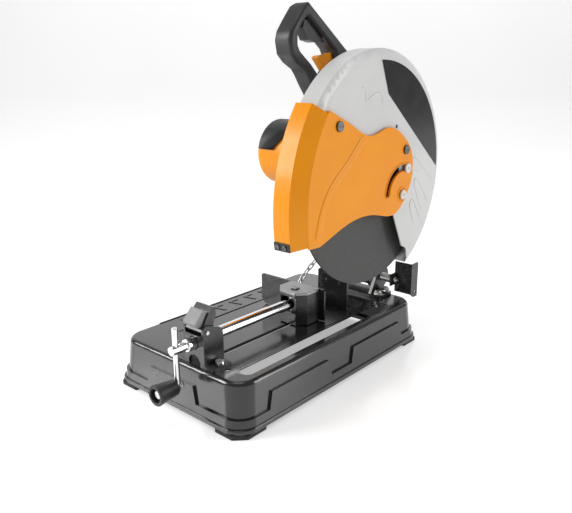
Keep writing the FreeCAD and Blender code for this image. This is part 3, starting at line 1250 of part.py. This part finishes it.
def trigger():
    """Trigger paddle under the rear bar, with moulded trunnions at its back end."""
    y, z = TRIGGER_PIVOT
    outline = [(y + 7, z - 2), (y + 5, z + 4), (y - 30, z + 21), (y - 38, z + 20), (y - 41, z + 9),
               (y - 30, z - 8), (y - 12, z - 11), (y + 2, z - 7)]
    paddle = plate_x(outline, HANDLE_MID_X - 8, HANDLE_MID_X + 8, 2.0)
    return paddle.fuse(rod_x(2.0, y, z, HANDLE_LEFT_X + 4, HANDLE_RIGHT_X - 4)).removeSplitter()


LOCK_BUTTON = (104.0, 502.0)


def lock_button_hole():
    """Bore for the lock button through the left wall of the handle."""
    return rod_x(5.0 + RUN_GAP, LOCK_BUTTON[0], LOCK_BUTTON[1], HANDLE_LEFT_X - 5, HANDLE_MID_X - 1)


def lock_button():
    """Lock-on button in the left side of the handle."""
    button = rod_x(5.0, LOCK_BUTTON[0], LOCK_BUTTON[1], HANDLE_LEFT_X - 4, HANDLE_MID_X - 8)
    return soften(button, 1.0, at_level("X", HANDLE_LEFT_X - 4))


def handle_insert():
    """Orange insert on the rear bar, at the bottom of the hand opening."""
    outline = [(61, 488.5), (66.5, 491.4), (91.2, 494), (98, 499), (103, 492), (103, 481), (98.4, 475.8),
               (85.8, 464), (66.6, 482.9)]
    return plate_x(outline, HANDLE_MID_X - 7, HANDLE_MID_X + 7, 1.0)


def power_cord():
    """Cord boot at the back of the handle with a short length of cord."""
    start = V(HANDLE_MID_X, 140.0, 438.5)
    pieces = []
    boot = Part.makeCone(8.5, 5.5, 34, start, V(0, 0.9, -0.35))
    pieces.append(boot)
    curve = Part.BezierCurve()
    end = start + V(0, 30, -12)
    curve.setPoles([end, end + V(0, 34, -14), V(HANDLE_MID_X - 4, 224, 330), V(HANDLE_MID_X - 8, 212, 268)])
    path = Part.Wire(curve.toShape())
    profile = Part.Wire(Part.makeCircle(4.0, end, V(0, 34, -14)))
    pieces.append(path.makePipeShell([profile], True, True))
    return pieces[0].fuse(pieces[1])


SPINDLE_COLLAR = 10.0
LOCK_X = 46.5
LOCK_ANGLE = 20.0
LOCK_TRAVEL = 7.0


def lock_rod(radius, inner, outer):
    """Cylinder across the spindle axis, in the direction of the spindle lock."""
    turn = math.radians(LOCK_ANGLE)
    along = V(0, math.cos(turn), math.sin(turn))
    start = V(LOCK_X, SPINDLE_Y, SPINDLE_Z) + along * inner
    return Part.makeCylinder(radius, outer - inner, start, along)


def spindle_lock():
    """Spindle lock: a pin through the case wall with a round button at the back."""
    button = soften(lock_rod(7.0, CASE_RADIUS + LOCK_TRAVEL + 1, CASE_RADIUS + LOCK_TRAVEL + 8), 1.5)
    return button.fuse(lock_rod(2.4, SPINDLE_COLLAR + 2.0, CASE_RADIUS + LOCK_TRAVEL + 2)).removeSplitter()


# ---- assembly -----------------------------------------------------------------------------
def build_base():
    """Everything that stays on the bench."""
    keep("base_pan", base_pan())
    keep("rubber_feet", *rubber_feet())
    keep("foot_screws", *foot_screws())
    keep("hinge_bracket", hinge_bracket())
    bolts = table_bolts(HINGE_BOLTS, TABLE_Z + 5, 1.6) + table_bolts(VISE_BOLTS, TABLE_Z + 4, 0.0)
    keep("table_bolts", *bolts, *table_bolts(FENCE_BOLTS, TABLE_Z + 5 + RUN_GAP, 1.6))
    keep("hinge_shaft", hinge_shaft())
    keep("torsion_spring", torsion_spring())
    keep("stop_bolt", stop_bolt())
    keep("spark_deflector", spark_deflector())
    keep("fence", fence())
    keep("chain_eye", chain_eye())
    keep("hold_chain", *hold_chain())
    keep("vise_bracket", vise_bracket())


def build_vise():
    """Screw, crank and jaw."""
    keep("lever_pin", lever_pin())
    keep("release_lever", release_lever())
    keep("lever_grip", lever_grip())
    keep("half_nut", half_nut())
    keep("vise_screw", vise_screw())
    keep("crank_rod", crank_rod())
    keep("crank_knob_bolt", crank_knob_bolt())
    keep("crank_knob", crank_knob())
    keep("swivel_barrel", swivel_barrel())
    keep("guide_bolt", guide_bolt())
    keep("jaw_body", jaw_body())
    keep("jaw_cap", jaw_cap())
    keep("jaw_pin", jaw_pin())
    keep("jaw_plate", jaw_plate())


def build_head():
    """Gear case, motor, guard and handle."""
    keep("head_casting", head_casting())
    keep("gear_case_cover", gear_case_cover())
    keep("casing_screws", *casing_screws(), *guard_screws(), *handle_screws())
    keep("bearings", *bearings())
    keep("motor_housing", motor_housing())
    keep("motor_end_cap", motor_end_cap())
    keep("vent_cover", vent_cover())
    keep("stator", stator())
    keep("carbon_brushes", *carbon_brushes())
    keep("brush_caps", *brush_caps())
    keep("fixed_guard", fixed_guard())
    keep("guard_badge", rating_label())
    keep("cover_pivot_screws", *cover_pivot_screws())
    keep("handle_left", handle_half(HANDLE_LEFT_X, HANDLE_MID_X, HANDLE_LEFT_X))
    keep("handle_right", handle_half(HANDLE_MID_X, HANDLE_RIGHT_X, HANDLE_RIGHT_X))
    keep("handle_insert", handle_insert())
    keep("switch_box", switch_body(0.0))
    keep("power_cord", power_cord())


def build_moving():
    """Pieces of the head that move on their own."""
    keep("swing_cover", swing_cover())
    keep("cover_tip", cover_tip())
    keep("cover_screws", *cover_screws())
    keep("trigger", trigger())
    keep("lock_button", lock_button())
    keep("spindle_lock", spindle_lock())
    keep("spindle", spindle())
    keep("spindle_gear", spindle_gear())
    keep("inner_flange", inner_flange())
    keep("cutting_disc", cutting_disc())
    keep("outer_flange", outer_flange())
    keep("spindle_bolt", spindle_bolt())
    keep("armature_shaft", armature_shaft())
    keep("armature", armature())
    keep("cooling_fan", cooling_fan())


def main():
    """Build every node and write one STEP file for each."""
    build_base()
    build_vise()
    build_head()
    build_moving()
    os.makedirs("parts", exist_ok=True)
    for name, shape in NODES.items():
        shape.exportStep("parts/" + name + ".step")


main()
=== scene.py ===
"""Looks of the abrasive chop saw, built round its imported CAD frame. Lengths are metres."""

import json
import math

import bpy
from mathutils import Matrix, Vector


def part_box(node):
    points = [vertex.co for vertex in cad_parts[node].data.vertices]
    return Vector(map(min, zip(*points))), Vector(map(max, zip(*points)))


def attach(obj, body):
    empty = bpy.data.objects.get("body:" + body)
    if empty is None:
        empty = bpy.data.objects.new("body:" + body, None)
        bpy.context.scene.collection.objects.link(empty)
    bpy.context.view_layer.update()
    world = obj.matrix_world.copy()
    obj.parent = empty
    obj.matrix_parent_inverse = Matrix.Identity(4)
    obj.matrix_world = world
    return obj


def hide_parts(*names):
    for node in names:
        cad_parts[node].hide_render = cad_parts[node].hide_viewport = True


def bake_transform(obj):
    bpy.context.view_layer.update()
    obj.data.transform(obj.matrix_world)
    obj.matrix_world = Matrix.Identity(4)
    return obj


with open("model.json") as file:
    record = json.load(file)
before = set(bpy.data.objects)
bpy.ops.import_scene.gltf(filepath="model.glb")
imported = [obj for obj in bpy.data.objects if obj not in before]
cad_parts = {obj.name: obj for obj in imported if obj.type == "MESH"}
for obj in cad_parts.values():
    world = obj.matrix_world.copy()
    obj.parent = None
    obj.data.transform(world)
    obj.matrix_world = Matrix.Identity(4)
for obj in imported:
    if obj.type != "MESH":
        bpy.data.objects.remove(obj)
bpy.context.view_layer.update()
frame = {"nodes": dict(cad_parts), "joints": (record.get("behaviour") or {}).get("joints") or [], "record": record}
NODES = frame["nodes"]
JOINTS = {joint["name"]: joint for joint in frame["joints"]}
MM = 0.001
COVER_PIVOT = Vector(JOINTS["cover_swing"]["pos_m"])
CAMERA_TURN = math.radians(40.34)
CAMERA_DIP = math.radians(16.22)


# ---- materials ----------------------------------------------------------------------------
def new_material(name):
    """Empty node material with its principled shader and output."""
    material = bpy.data.materials.new(name)
    material.use_nodes = True
    tree = material.node_tree
    shader = tree.nodes["Principled BSDF"]
    return material, tree, shader


def noise(tree, scale, detail=4.0, stretch=(1, 1, 1)):
    """Noise in object space, stretched along the axes."""
    place = tree.nodes.new("ShaderNodeTexCoord")
    mapping = tree.nodes.new("ShaderNodeMapping")
    mapping.inputs["Scale"].default_value = stretch
    texture = tree.nodes.new("ShaderNodeTexNoise")
    texture.inputs["Scale"].default_value = scale
    texture.inputs["Detail"].default_value = detail
    tree.links.new(place.outputs["Object"], mapping.inputs["Vector"])
    tree.links.new(mapping.outputs["Vector"], texture.inputs["Vector"])
    return texture.outputs["Fac"]


def mapped(tree, value, low, high, first=0.3, last=0.7):
    """Value spread from one range to another."""
    node = tree.nodes.new("ShaderNodeMapRange")
    node.inputs["From Min"].default_value = first
    node.inputs["From Max"].default_value = last
    node.inputs["To Min"].default_value = low
    node.inputs["To Max"].default_value = high
    tree.links.new(value, node.inputs["Value"])
    return node.outputs["Result"]


def mixed(tree, factor, first, second):
    """Colour between two colours or sockets."""
    node = tree.nodes.new("ShaderNodeMix")
    node.data_type = "RGBA"
    for socket, value in ((node.inputs["A"], first), (node.inputs["B"], second)):
        colour_inputs = [s for s in node.inputs if s.name == socket.name and s.type == "RGBA"]
        target = colour_inputs[0]
        if isinstance(value, (tuple, list)):
            target.default_value = tuple(value) + (1.0,)
        else:
            tree.links.new(value, target)
    tree.links.new(factor, node.inputs["Factor"])
    return [s for s in node.outputs if s.type == "RGBA"][0]


def bumped(tree, shader, heights):
    """Chain of bump nodes: (height socket, strength, distance in metres)."""
    normal = None
    for height, strength, distance in heights:
        node = tree.nodes.new("ShaderNodeBump")
        node.inputs["Strength"].default_value = strength
        node.inputs["Distance"].default_value = distance
        tree.links.new(height, node.inputs["Height"])
        if normal is not None:
            tree.links.new(normal, node.inputs["Normal"])
        normal = node.outputs["Normal"]
    tree.links.new(normal, shader.inputs["Normal"])


def painted_edge_shading(tree, amount):
    """Mask of convex edges for the painted edge highlights and painted shade lines, broken up by noise."""
    geometry = tree.nodes.new("ShaderNodeNewGeometry")
    edge = mapped(tree, geometry.outputs["Pointiness"], 0.0, 1.0, 0.53, 0.60)
    spots = mapped(tree, noise(tree, 220.0, 6.0), 0.0, amount, 0.48, 0.62)
    node = tree.nodes.new("ShaderNodeMath")
    node.operation = "MULTIPLY"
    tree.links.new(edge, node.inputs[0])
    tree.links.new(spots, node.inputs[1])
    return node.outputs["Value"]


def paint(name, colour, dark, roughness, orange_peel, coat=0.0, edge_shading_colour=None, edge_shading_amount=0.35):
    """Sprayed paint: slow colour drift, orange peel, and painted edge light: convex edges tinted lighter as
    painted highlights, darker as a painted shade line where the edge colour is darker.
    """
    material, tree, shader = new_material(name)
    drift = mapped(tree, noise(tree, 9.0, 3.0), 0.0, 1.0)
    base = mixed(tree, drift, dark, colour)
    # painted edge light: convex edges mixed towards the edge colour, a painted highlight on the black and orange
    # paint, a painted shade line on the pale guard
    if edge_shading_colour is not None:
        base = mixed(tree, painted_edge_shading(tree, edge_shading_amount), base, edge_shading_colour)
    tree.links.new(base, shader.inputs["Base Color"])
    smudges = noise(tree, 34.0, 5.0)
    tree.links.new(mapped(tree, smudges, roughness[0], roughness[1]), shader.inputs["Roughness"])
    shader.inputs["Coat Weight"].default_value = coat
    shader.inputs["Coat Roughness"].default_value = 0.12
    bumped(tree, shader, [(noise(tree, 420.0, 2.0), orange_peel, 0.0002),
                          (noise(tree, 2400.0, 3.0), orange_peel * 0.4, 0.00005)])
    return material


def plastic(name, colour, dark, roughness, grain, coat=0.0):
    """Moulded plastic with a fine spark-eroded grain."""
    material, tree, shader = new_material(name)
    drift = mapped(tree, noise(tree, 26.0, 4.0), 0.0, 1.0)
    tree.links.new(mixed(tree, drift, dark, colour), shader.inputs["Base Color"])
    rub = noise(tree, 60.0, 5.0)
    tree.links.new(mapped(tree, rub, roughness[0], roughness[1]), shader.inputs["Roughness"])
    shader.inputs["Coat Weight"].default_value = coat
    shader.inputs["Coat Roughness"].default_value = 0.2
    bumped(tree, shader, [(noise(tree, 1600.0, 4.0), grain, 0.00012)])
    return material


def steel(name, colour, dark, roughness, stretch=(1, 1, 1), streak=0.12, stain=0.25):
    """Bare or plated steel with drawn or turned streaks and a faint stain."""
    material, tree, shader = new_material(name)
    shader.inputs["Metallic"].default_value = 1.0
    drift = mapped(tree, noise(tree, 40.0, 5.0), 0.0, stain, 0.35, 0.75)
    tree.links.new(mixed(tree, drift, colour, dark), shader.inputs["Base Color"])
    lines = noise(tree, 700.0, 3.0, stretch)
    tree.links.new(mapped(tree, lines, roughness[0], roughness[1]), shader.inputs["Roughness"])
    bumped(tree, shader, [(lines, streak, 0.00006)])
    return material


def rubber(name, colour, dark):
    """Matt rubber with dust in its grain."""
    material, tree, shader = new_material(name)
    dust = mapped(tree, noise(tree, 90.0, 6.0), 0.0, 1.0, 0.4, 0.75)
    tree.links.new(mixed(tree, dust, colour, dark), shader.inputs["Base Color"])
    tree.links.new(mapped(tree, noise(tree, 300.0), 0.62, 0.85), shader.inputs["Roughness"])
    bumped(tree, shader, [(noise(tree, 900.0, 5.0), 0.25, 0.0002)])
    return material


def abrasive(name):
    """Bonded grit of the cutting disc, with a woven glass net showing faintly."""
    material, tree, shader = new_material(name)
    cells = tree.nodes.new("ShaderNodeTexVoronoi")
    cells.inputs["Scale"].default_value = 1100.0
    place = tree.nodes.new("ShaderNodeTexCoord")
    tree.links.new(place.outputs["Object"], cells.inputs["Vector"])
    grit = mapped(tree, cells.outputs["Distance"], 0.0, 1.0, 0.1, 0.7)
    body = mixed(tree, grit, (0.030, 0.030, 0.032), (0.075, 0.074, 0.072))
    sparkle = mapped(tree, noise(tree, 2600.0, 2.0), 0.0, 1.0, 0.66, 0.72)
    tree.links.new(mixed(tree, sparkle, body, (0.20, 0.19, 0.18)), shader.inputs["Base Color"])
    tree.links.new(mapped(tree, noise(tree, 500.0), 0.42, 0.68), shader.inputs["Roughness"])
    net = noise(tree, 160.0, 1.0, (1.0, 1.0, 1.0))
    bumped(tree, shader, [(grit, 0.35, 0.00025), (net, 0.15, 0.0003)])
    return material


BLACK = (0.020, 0.020, 0.022)
ORANGE = (0.985, 0.350, 0.002)
MATERIALS = {
    # the last colour in each paint() call is painted edge light: lighter painted highlights on the black and
    # orange paints, a darker painted shade line on the pale guard
    "base_paint": paint("base_paint", BLACK, (0.015, 0.015, 0.016), (0.13, 0.24), 0.14, 0.45,
                        (0.10, 0.10, 0.10)),
    "black_steel": paint("black_steel", (0.018, 0.018, 0.020), (0.013, 0.013, 0.014), (0.22, 0.38), 0.16,
                         0.25, (0.16, 0.16, 0.165)),
    "cast_black": paint("cast_black", (0.024, 0.024, 0.026), (0.016, 0.016, 0.017), (0.34, 0.52), 0.75, 0.1,
                        (0.12, 0.12, 0.12)),
    "orange_paint": paint("orange_paint", ORANGE, (0.93, 0.31, 0.003), (0.30, 0.42), 0.08, 0.08,
                          (0.80, 0.42, 0.16), 0.2),
    "guard_paint": paint("guard_paint", (0.74, 0.74, 0.735), (0.66, 0.66, 0.655), (0.30, 0.42), 0.14, 0.15,
                         (0.45, 0.45, 0.45), 0.25),
    "badge_black": paint("badge_black", (0.008, 0.008, 0.008), (0.005, 0.005, 0.005), (0.16, 0.24), 0.05,
                         0.4),
    "dark_screw": steel("dark_screw", (0.20, 0.20, 0.21), (0.09, 0.09, 0.09), (0.30, 0.46)),
    "white_cap": plastic("white_cap", (0.83, 0.83, 0.82), (0.70, 0.70, 0.69), (0.30, 0.42), 0.10, 0.2),
    "black_plastic": plastic("black_plastic", (0.030, 0.030, 0.032), (0.020, 0.020, 0.021), (0.38, 0.55),
                             0.35),
    "grey_plastic": plastic("grey_plastic", (0.36, 0.36, 0.36), (0.28, 0.28, 0.28), (0.40, 0.55), 0.25),
    "orange_plastic": plastic("orange_plastic", ORANGE, (0.92, 0.30, 0.003), (0.34, 0.46), 0.20, 0.05),
    "carbon": plastic("carbon", (0.03, 0.03, 0.03), (0.02, 0.02, 0.02), (0.5, 0.7), 0.4),
    "rubber": rubber("rubber", (0.020, 0.020, 0.020), (0.05, 0.05, 0.048)),
    "cord_rubber": rubber("cord_rubber", (0.017, 0.017, 0.018), (0.035, 0.035, 0.034)),
    "chrome_steel": steel("chrome_steel", (0.86, 0.86, 0.87), (0.62, 0.62, 0.63), (0.05, 0.14),
                          (0.02, 1, 1), 0.04, 0.3),
    "zinc": steel("zinc", (0.66, 0.66, 0.64), (0.42, 0.41, 0.38), (0.24, 0.40)),
    "spring_steel": steel("spring_steel", (0.45, 0.45, 0.46), (0.22, 0.21, 0.2), (0.25, 0.4)),
    "chain_steel": steel("chain_steel", (0.72, 0.72, 0.71), (0.40, 0.39, 0.37), (0.18, 0.32)),
    "grey_steel": steel("grey_steel", (0.34, 0.34, 0.345), (0.22, 0.22, 0.22), (0.28, 0.42)),
    "bearing_steel": steel("bearing_steel", (0.62, 0.62, 0.62), (0.45, 0.45, 0.44), (0.15, 0.28)),
    "gear_steel": steel("gear_steel", (0.42, 0.42, 0.43), (0.28, 0.27, 0.25), (0.28, 0.42)),
    "stator_steel": steel("stator_steel", (0.30, 0.30, 0.30), (0.20, 0.17, 0.14), (0.4, 0.6),
                          (12, 0.1, 0.1), 0.3),
    "bronze": steel("bronze", (0.60, 0.40, 0.16), (0.35, 0.22, 0.09), (0.22, 0.4)),
    "abrasive": abrasive("abrasive"),
}
ORANGE_SHEEN = 0.28
for orange_name in ("orange_paint", "orange_plastic"):
    orange_shader = MATERIALS[orange_name].node_tree.nodes["Principled BSDF"]
    orange_shader.inputs["Specular IOR Level"].default_value = ORANGE_SHEEN


# ---- carried-over CAD nodes ---------------------------------------------------------------
SLOT_OF = {part["node"]: part["material_slot"] for part in frame["record"]["subparts"]}
EDGE_ROUNDING = {
    "base_pan": 1.2, "hinge_bracket": 0.8, "vise_bracket": 0.8, "release_lever": 0.6, "fence": 0.8,
    "spark_deflector": 0.6, "jaw_body": 0.7, "jaw_plate": 0.6, "jaw_cap": 0.5, "head_casting": 1.0,
    "gear_case_cover": 0.8, "motor_housing": 0.6, "motor_end_cap": 0.6, "swing_cover": 0.9,
    "fixed_guard": 0.7, "cover_tip": 0.4, "handle_left": 0.8, "handle_right": 0.8, "handle_insert": 0.8,
    "trigger": 0.5, "swivel_barrel": 0.4, "rubber_feet": 0.6, "stop_bolt": 0.3, "table_bolts": 0.3,
    "spindle_bolt": 0.4, "outer_flange": 0.4, "crank_knob": 0.6, "lever_grip": 0.6, "guard_badge": 0.15,
}


def dress(node):
    """Give a CAD node its material, and round its sharp edges."""
    piece = NODES[node]
    piece.data.materials.clear()
    piece.data.materials.append(MATERIALS[SLOT_OF[node]])
    for polygon in piece.data.polygons:
        polygon.use_smooth = True
    weld = piece.modifiers.new("weld", "WELD")
    weld.merge_threshold = 0.000005
    flatten = piece.modifiers.new("flatten", "DECIMATE")
    flatten.decimate_type = "DISSOLVE"
    flatten.angle_limit = math.radians(0.6)
    if node in EDGE_ROUNDING:
        bevel = piece.modifiers.new("bevel", "BEVEL")
        bevel.width = EDGE_ROUNDING[node] * MM
        bevel.segments = 3
        bevel.limit_method = "ANGLE"
        bevel.angle_limit = math.radians(32)
        bevel.use_clamp_overlap = True
        bevel.miter_outer = "MITER_ARC"
    normals = piece.modifiers.new("normals", "WEIGHTED_NORMAL")
    normals.weight = 80
    normals.keep_sharp = False


for node_name in NODES:
    dress(node_name)


# ---- raised details -----------------------------------------------------------------------
def smooth_path(points, steps=8):
    """Points of a smooth curve through the given points."""
    path = []
    padded = [points[0]] + points + [points[-1]]
    for index in range(len(points) - 1):
        before, start, end, after = padded[index:index + 4]
        slope = end - before
        bend = 2 * before - 5 * start + 4 * end - after
        twist = 3 * start - before - 3 * end + after
        for step in range(steps):
            t = step / steps
            path.append(0.5 * (2 * start + slope * t + bend * t * t + twist * t ** 3))
    return path + [points[-1]]


def bead_rings(path, radius, height, closed, sides):
    """Flattened rings of vertices along a path across X, smaller at the ends of an open path."""
    verts = []
    count = len(path)
    for index, place in enumerate(path):
        before = path[index - 1] if closed or index > 0 else place
        after = path[(index + 1) % count] if closed or index < count - 1 else place
        along = (after - before).normalized()
        across = along.cross(Vector((1, 0, 0))).normalized()
        taper = 1.0
        if not closed:
            taper = min(1.0, 0.25 + 0.35 * min(index, count - 1 - index))
        for side in range(sides):
            angle = 2 * math.pi * side / sides
            lift = Vector((height * taper * math.sin(angle), 0, 0))
            verts.append(place + across * (radius * taper * math.cos(angle)) + lift)
    return verts


def bead(name, path, radius, height, closed=False, sides=10):
    """Raised bead on a side face: a flattened tube along a path in a plane across X."""
    count = len(path)
    verts = bead_rings(path, radius, height, closed, sides)
    faces = []
    rings = count if closed else count - 1
    for ring in range(rings):
        first = ring * sides
        second = ((ring + 1) % count) * sides
        for side in range(sides):
            step = (side + 1) % sides
            faces.append((first + side, first + step, second + step, second + side))
    if not closed:
        faces.append(tuple(range(sides - 1, -1, -1)))
        faces.append(tuple(range((count - 1) * sides, count * sides)))
    mesh = bpy.data.meshes.new(name)
    mesh.from_pydata(verts, [], faces)
    mesh.update()
    piece = bpy.data.objects.new(name, mesh)
    bpy.context.scene.collection.objects.link(piece)
    for polygon in mesh.polygons:
        polygon.use_smooth = True
    return piece


def finish_bead(piece, node, body):
    """Paint a bead like the piece it stands on, and let it move with that body."""
    piece.data.materials.append(MATERIALS[SLOT_OF[node]])
    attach(piece, body)


def on_plane(x, points):
    """Points (y, z) in millimetres as places on a plane across X."""
    return [Vector((x, y * MM, z * MM)) for y, z in points]


def round_place(centre, radius, x, angle):
    """Place on a circle across X, at an angle in degrees from +Y towards +Z."""
    turn = math.radians(angle)
    return Vector((x, centre.y + radius * math.cos(turn), centre.z + radius * math.sin(turn)))


def circle_path(centre, radius, x, count=48):
    """Places round a whole circle across X."""
    return [round_place(centre, radius, x, 360.0 * index / count) for index in range(count)]


def arc_path(centre, radius, x, first, last, count):
    """Places along an arc across X, both ends included."""
    step = (last - first) / (count - 1)
    return [round_place(centre, radius, x, first + step * index) for index in range(count)]


def slot_rim_path(x, grow):
    """Closed line round the cover's guide slot."""
    last = SLOT_FIRST + SLOT_SWEEP
    path = arc_path(COVER_PIVOT, SLOT_REACH + grow, x, SLOT_FIRST, last, 30)
    far_end = round_place(COVER_PIVOT, SLOT_REACH, x, last)
    path += arc_path(far_end, grow, x, last, last + 180.0, 12)[1:-1]
    path += arc_path(COVER_PIVOT, SLOT_REACH - grow, x, last, SLOT_FIRST, 30)
    near_end = round_place(COVER_PIVOT, SLOT_REACH, x, SLOT_FIRST)
    return path + arc_path(near_end, grow, x, SLOT_FIRST + 180.0, SLOT_FIRST + 360.0, 12)[1:-1]


SLOT_REACH = 43.86 * MM
SLOT_FIRST = 74.7
SLOT_SWEEP = 98.0
GUARD_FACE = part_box("guard_badge")[0].x
COVER_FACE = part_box("swing_cover")[1].x
SQUIGGLE = [(49, 445), (57, 444), (60, 434), (62, 426), (76, 432), (90, 437), (102, 434.5), (107, 420)]
GUARD_RIBS = [[(205, 300), (200, 318), (204, 330), (213.1, 328.5), (241, 307), (272.7, 283)],
              [(239.9, 234), (222, 262), (211, 285.3), (216.6, 293.4), (238, 272.8), (258.6, 247.1)],
              [(215.8, 212.9), (199.7, 249.4), (209.4, 257.9), (222, 240), (239.6, 215.6)]]
COVER_CREASE = [(54, 374), (42.7, 364), (15.2, 338.3), (-11.7, 318), (-29.9, 300), (-42.5, 279), (-52, 252),
                (-56, 238)]


def build_beads():
    """Embossed lines of the guard and the raised rims of the cover."""
    squiggle = smooth_path(on_plane(GUARD_FACE, SQUIGGLE))
    finish_bead(bead("guard_squiggle", squiggle, 1.1 * MM, 0.8 * MM), "fixed_guard", "head")
    for index, points in enumerate(GUARD_RIBS):
        path = smooth_path(on_plane(GUARD_FACE, points))
        finish_bead(bead("guard_rib_%d" % index, path, 1.3 * MM, 1.0 * MM), "fixed_guard", "head")
    crease = smooth_path(on_plane(COVER_FACE, COVER_CREASE))
    finish_bead(bead("cover_crease", crease, 7.0 * MM, 1.0 * MM), "swing_cover", "cover")
    lip = slot_rim_path(COVER_FACE, 6.6 * MM)
    finish_bead(bead("cover_slot_lip", lip, 1.4 * MM, 1.5 * MM, True), "swing_cover", "cover")
    boss = circle_path(COVER_PIVOT, 12.0 * MM, COVER_FACE)
    finish_bead(bead("cover_pivot_boss", boss, 1.6 * MM, 1.4 * MM, True), "swing_cover", "cover")


def soften_between(node, start, end):
    """Copy of a limp or springy piece that runs between the base and the head; the original is hidden and the copy
    keeps its shape.
    """
    copy = bpy.data.objects.new(node + "_bending", NODES[node].data.copy())
    bpy.context.scene.collection.objects.link(copy)
    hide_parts(node)
    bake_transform(copy)


CHAIN_ENDS = (Vector((-0.016, 0.062, 0.090)), Vector((0.014, 0.1365, 0.191)))
SPRING_LEGS = (Vector((0.048, 0.190, 0.090)), Vector((0.044, 0.175, 0.150)))
build_beads()
soften_between("hold_chain", *CHAIN_ENDS)
soften_between("torsion_spring", *SPRING_LEGS)


# ---- stage --------------------------------------------------------------------------------
def build_floor():
    """Pale glossy table top that runs up into a backdrop."""
    front, back, bend, top, half_width = -3.0, 2.0, 1.2, 5.0, 5.0
    profile = [(front, 0.0), (back, 0.0)]
    turns = 16
    for index in range(1, turns + 1):
        angle = math.radians(90.0 * index / turns)
        profile.append((back + bend * math.sin(angle), bend - bend * math.cos(angle)))
    profile.append((back + bend, top))
    mesh = bpy.data.meshes.new("floor")
    verts = [Vector((x, y, z)) for y, z in profile for x in (-half_width, half_width)]
    faces = [(2 * i, 2 * i + 1, 2 * i + 3, 2 * i + 2) for i in range(len(profile) - 1)]
    mesh.from_pydata(verts, [], faces)
    mesh.update()
    floor = bpy.data.objects.new("floor", mesh)
    bpy.context.scene.collection.objects.link(floor)
    for polygon in mesh.polygons:
        polygon.use_smooth = True
    floor.rotation_euler = (0, 0, CAMERA_TURN)
    material, tree, shader = new_material("table_top")
    drift = mapped(tree, noise(tree, 1.3, 2.0), 0.0, 1.0)
    tree.links.new(mixed(tree, drift, (0.90, 0.90, 0.90), (0.93, 0.93, 0.93)), shader.inputs["Base Color"])
    tree.links.new(mapped(tree, noise(tree, 6.0, 3.0), 0.14, 0.20), shader.inputs["Roughness"])
    shader.inputs["Emission Color"].default_value = (1.0, 1.0, 1.0, 1.0)
    shader.inputs["Emission Strength"].default_value = 0.42
    mesh.materials.append(material)


def area_light(name, place, target, size, power):
    """Soft rectangular lamp aimed at a point."""
    data = bpy.data.lights.new(name, "AREA")
    data.shape = "RECTANGLE"
    data.size, data.size_y = size
    data.energy = power
    lamp = bpy.data.objects.new(name, data)
    lamp.location = place
    aim = Vector(target) - Vector(place)
    lamp.rotation_euler = aim.to_track_quat("-Z", "Y").to_euler()
    bpy.context.scene.collection.objects.link(lamp)


def build_lights():
    """White room with soft lamps at the front left, the right rear and above."""
    world = bpy.data.worlds.new("studio")
    bpy.context.scene.world = world
    world.use_nodes = True
    tree = world.node_tree
    background = tree.nodes["Background"]
    background.inputs["Color"].default_value = (1.0, 1.0, 1.0, 1.0)
    path = tree.nodes.new("ShaderNodeLightPath")
    seen = mapped(tree, path.outputs["Is Camera Ray"], 0.26, 1.0, 0.0, 1.0)
    tree.links.new(seen, background.inputs["Strength"])
    middle = (0, 0, 0.25)
    area_light("front_left", (-1.4, -1.6, 1.2), middle, (1.0, 1.0), 36.0)
    area_light("right_rear", (1.9, 1.3, 0.9), middle, (0.6, 1.4), 17.0)
    area_light("above", (0.1, -0.4, 2.1), middle, (1.1, 0.9), 6.5)
    bpy.context.scene.view_settings.view_transform = "Standard"


def build_camera():
    """Camera in front of the right corner, a little above the table."""
    data = bpy.data.cameras.new("camera")
    data.sensor_width = 36.0
    data.lens = 39.37
    data.shift_x = -0.0294
    data.shift_y = -0.0023
    data.clip_start = 0.01
    camera = bpy.data.objects.new("camera", data)
    camera.location = (0.6615, -0.7180, 0.4654)
    camera.rotation_euler = (math.radians(90.0) - CAMERA_DIP, 0.0, CAMERA_TURN)
    bpy.context.scene.collection.objects.link(camera)
    bpy.context.scene.camera = camera


build_floor()
build_lights()
build_camera()
